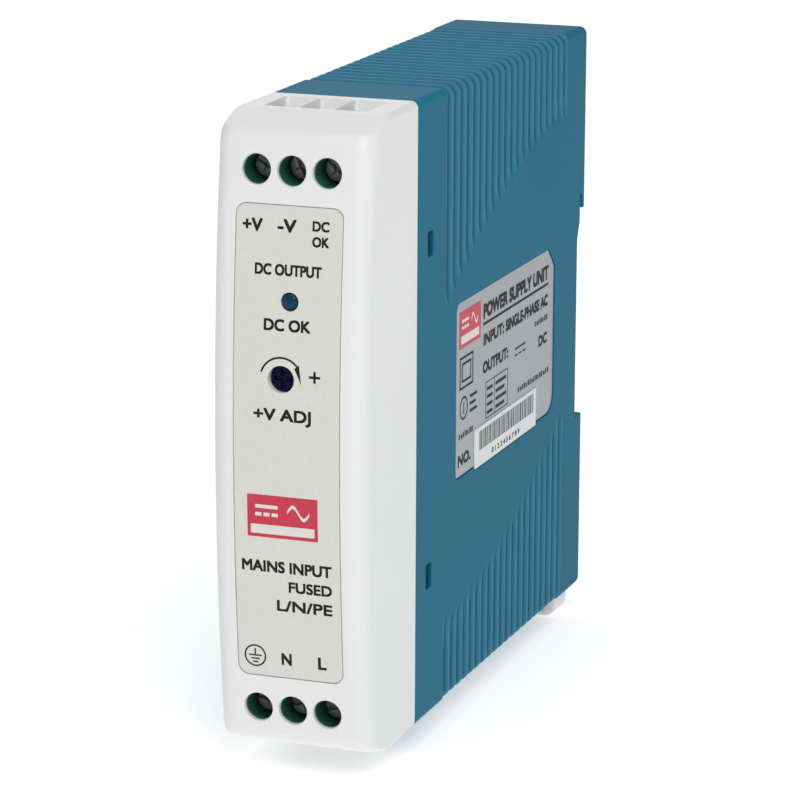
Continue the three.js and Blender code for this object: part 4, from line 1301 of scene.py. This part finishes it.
def terminal_block(name):
    outline = fillet([
        (BLOCK_FRONT, BLOCK_BOTTOM, 0.3), (BLOCK_REAR, BLOCK_BOTTOM, 0.3), (BLOCK_REAR, BLOCK_TOP, 0.3),
        (10.4, BLOCK_TOP, 0.5), (BLOCK_FRONT, 85, 0.3),
    ], 3)
    body = prism(name, outline, "x", -BLOCK_HALF, BLOCK_HALF, 0.25, 0.25)
    face = (FACE_HALF, SCREW_Z - FACE_RISE, SCREW_Z + FACE_RISE, 0.5, FACE_DEPTH, 3.4, 0.1, 8)
    fuse(body, bow_slab("face", *face))
    low, high = SCREW_Z - CHAMBER_HALF, SCREW_Z + CHAMBER_HALF
    for x in POLE_XS:
        sides = (x - CHAMBER_HALF, x + CHAMBER_HALF)
        leg = (x - LEG_HALF, x + LEG_HALF, LEG_FRONT, BLOCK_REAR + 1, LEG_BOTTOM, SCREW_Z - 1)
        cut(
            body,
            round_hole(x, SCREW_Z, BORE, FACE_DEPTH, 8, -0.15),
            block("chamber", *sides, CHAMBER_FRONT, CHAMBER_REAR, low, high, 0.1, 0.2),
            block("throat", *sides, THROAT_FRONT, CHAMBER_REAR, SCREW_Z, BLOCK_TOP + 1, 0.1, 0.2),
            block("leg", *leg, 0.05, 0.1),
        )
    return body


screw_low, screw_high = case_box("terminal_screw_1")
HEAD_RADIUS = 1.85
HEAD_FRONT = screw_low[1]
HEAD_REAR = HEAD_FRONT + 1.3
SCREW_END = screw_high[1]
SHANK_RADIUS = 1.4
THREAD_PITCH = 0.5
THREAD_DEPTH = 0.2
RINGS_PER_TURN = 8
LEAD_IN = 0.8
SLOT_HALF = 0.3
SLOT_REACH = 2.4
CROSS_REACH = 1.32
SLOT_ANGLES = (-28, -64, -42, 8, -12, -20)


def threaded(name, x, z, radius, start, end, sides=36):
    """A screw thread about an axis along y, with a pointed lead-in."""
    angles = np.linspace(0, 2 * np.pi, sides, endpoint=False)
    rings = []
    for y in np.linspace(start, end, int((end - start) / THREAD_PITCH * RINGS_PER_TURN)):
        phase = (y / THREAD_PITCH - angles / (2 * np.pi)) % 1.0
        tooth = THREAD_DEPTH * np.abs(phase * 2 - 1)
        taper = min(1.0, max(0.0, (end - y) / LEAD_IN))
        r = (radius - tooth) * (0.72 + 0.28 * taper)
        rings.append(np.stack([x + r * np.cos(angles), np.full(sides, y), z + r * np.sin(angles)], axis=1))
    return loft(name, rings)


def screw_slot(x, along, across, reach):
    """Cutter of one slot: a bar through the middle of the head, with a reach each way."""
    centre = np.array([x, SCREW_Z])
    signs = ((-1, -1), (1, -1), (1, 1), (-1, 1))
    corners = [centre + i * reach * along + j * SLOT_HALF * across for i, j in signs]
    return prism("slot", np.array(corners), "y", HEAD_FRONT + 0.1, HEAD_FRONT + 0.75, -0.08, 0, 2)


def terminal_screw(name, x, slot_angle):
    r = HEAD_RADIUS
    front, rear = HEAD_FRONT, HEAD_REAR
    profile = [
        (0.0, front + 0.03), (r * 0.55, front + 0.01), (r - 0.35, front), (r - 0.12, front + 0.08),
        (r, front + 0.3), (r, rear - 0.1), (r - 0.1, rear), (0.0, rear),
    ]
    head = lathe(name, profile, (x, SCREW_Z))
    fuse(head, threaded("shank", x, SCREW_Z, SHANK_RADIUS, rear - 0.2, SCREW_END))
    angle = math.radians(slot_angle)
    along = np.array([math.cos(angle), math.sin(angle)])
    across = np.array([-along[1], along[0]])
    # the short slot's outline runs clockwise, so its rim closes in a little instead of flaring
    return cut(head, screw_slot(x, along, across, SLOT_REACH), screw_slot(x, across, along, CROSS_REACH))


def terminals():
    number = 0
    for side, orient in ROWS:
        connector = orient(terminal_block("block"))
        settle(connector, f"connector_{side}", "terminal_green", [f"terminal_block_{side}"])
        for x in POLE_XS:
            screw = orient(terminal_screw("screw", x, SLOT_ANGLES[number]))
            number += 1
            node = f"terminal_screw_{number}"
            settle(screw, f"clamp_screw_{number}", "screw_steel", [node], f"screw_{number}")


terminals()

# ---------- indicator and trimmer ----------

FLANGE_RADIUS = 1.6
LED_LENGTH = 6.5
LED_LEG_X = 0.6
LED_LEG_HALF = 0.2


def indicator():
    surface = float(bow(LED_Z))
    rear = surface + LED_LENGTH
    r = LED_RADIUS
    arc = np.linspace(0, np.pi / 2, 10)
    dome = [(r * math.sin(a), surface - 0.2 + 0.75 * (1 - math.cos(a))) for a in arc]
    flange = [
        (r, rear - 1.1), (r + 0.05, rear - 1), (FLANGE_RADIUS - 0.1, rear - 1), (FLANGE_RADIUS, rear - 0.9),
        (FLANGE_RADIUS, rear), (0, rear),
    ]
    lamp = lathe("lamp", dome + flange, (LED_X, LED_Z))
    h = LED_LEG_HALF
    for x in (LED_X - LED_LEG_X, LED_X + LED_LEG_X):
        fuse(lamp, block("leg", x - h, x + h, rear - 0.5, led_high[1], LED_Z - h, LED_Z + h, 0.05, 0.05))
    return lamp


settle(indicator(), "indicator_lamp", "lamp_lens", ["indicator_led"])

ARM_REACH = 1.3
ARM_HALF = 0.3


def trimmer_rotor():
    """A disc with a cross slot for the screwdriver."""
    r = ROTOR_RADIUS
    front, rear = rotor_low[1], rotor_high[1]
    rotor = lathe("rotor", [
        (0.0, front + 0.32), (r - 0.25, front + 0.3), (r - 0.06, front + 0.37), (r, front + 0.55),
        (r, rear), (0.0, rear),
    ], (ROTOR_X, ROTOR_Z), 56)
    for a, b in ((ARM_REACH, ARM_HALF), (ARM_HALF, ARM_REACH)):
        outline = rectangle(ROTOR_X - a, ROTOR_X + a, ROTOR_Z - b, ROTOR_Z + b, 0.08, 2)
        cut(rotor, prism("arm", outline, "y", front + 0.35, front + 0.8, -0.08, 0, 2))
    return rotor


settle(trimmer_rotor(), "rotor_knob", "rotor_navy", ["trimmer_rotor"], "trimmer")

# ---------- every CAD node: its look, and a fine bevel where it still shows ----------

BEVEL_WIDTH = 0.12 * MM
node_slots = {part["node"]: part["material_slot"] for part in frame["record"]["subparts"]}
for node_name, node_object in frame["nodes"].items():
    slot_name = node_slots[node_name]
    node_object.data.materials.clear()
    node_object.data.materials.append(SLOT_LOOKS[slot_name])
    if node_object.hide_render:
        continue
    rounding = node_object.modifiers.new("edges", "BEVEL")
    rounding.width = BEVEL_WIDTH
    rounding.segments = 2
    rounding.limit_method = "ANGLE"
    rounding.angle_limit = math.radians(40)

# ---------- camera, floor and light: metres and radians in the row frame ----------

CAMERA_AZIMUTH = 0.34687
CAMERA_PITCH = 0.23889
CAMERA_ROLL = 0.00457
CAMERA_PLACE = Vector((0.186435, -0.567876, 0.129263))
LENS = 173.644
SENSOR = 36


def camera():
    data = bpy.data.cameras.new("camera")
    data.lens = LENS
    data.sensor_width = SENSOR
    data.clip_start = 0.01
    data.clip_end = 20
    obj = linked("camera", data)
    ahead = Vector((
        -math.sin(CAMERA_AZIMUTH) * math.cos(CAMERA_PITCH),
        math.cos(CAMERA_AZIMUTH) * math.cos(CAMERA_PITCH),
        -math.sin(CAMERA_PITCH),
    ))
    right = Vector((math.cos(CAMERA_AZIMUTH), math.sin(CAMERA_AZIMUTH), 0))
    up = right.cross(ahead)
    rolled_right = right * math.cos(CAMERA_ROLL) + up * math.sin(CAMERA_ROLL)
    rolled_up = up * math.cos(CAMERA_ROLL) - right * math.sin(CAMERA_ROLL)
    turn = Matrix((rolled_right, rolled_up, -ahead)).transposed()
    obj.matrix_world = Matrix.Translation(CAMERA_PLACE) @ turn.to_4x4()
    bpy.context.scene.camera = obj


LIGHT_TARGET = Vector((0, -0.05, 0))
ROOM_LIGHT = 0.32
FLOOR_GLOW = 0.5
FLOOR_HALF = 6.0
# each softbox: name, place, size and power
SOFTBOXES = (
    ("key", (0.41, -0.575, 0.60), 0.5, 3.15), ("top", (0.0, -0.3, 0.9), 0.6, 2.4),
    ("back", (-0.55, 0.85, 0.5), 0.7, 1.6),
)


def softbox(name, place, size, power):
    """A square area light aimed at the object."""
    data = bpy.data.lights.new(name, "AREA")
    data.shape = "SQUARE"
    data.size = size
    data.energy = power
    place = Vector(place)
    aim = (LIGHT_TARGET - place).to_track_quat("-Z", "Y")
    linked(name, data).matrix_world = Matrix.Translation(place) @ aim.to_matrix().to_4x4()


def studio():
    mesh = bpy.data.meshes.new("floor")
    corners = rectangle(-FLOOR_HALF, FLOOR_HALF, -FLOOR_HALF, FLOOR_HALF, 0)
    mesh.from_pydata([(x, y, cad_box[0].z) for x, y in corners], [], [(0, 1, 2, 3)])
    floor = linked("floor", mesh)
    look = Look("floor_white", (0.8,) * 3, 0.8, Emission_Color=(1, 1, 1, 1), Emission_Strength=FLOOR_GLOW)
    look.drive(Base_Color=look.ramp(look.noise(0.2), 0.3, 0.7, (0.795,) * 3, (0.805,) * 3))
    mesh.materials.append(look.material)

    world = bpy.data.worlds.new("studio")
    world.use_nodes = True
    background = world.node_tree.nodes["Background"]
    background.inputs["Color"].default_value = (1.0, 1.0, 1.0, 1)
    background.inputs["Strength"].default_value = ROOM_LIGHT
    bpy.context.scene.world = world

    for light in SOFTBOXES:
        softbox(*light)
    bpy.context.scene.view_settings.view_transform = "Standard"


camera()
studio()
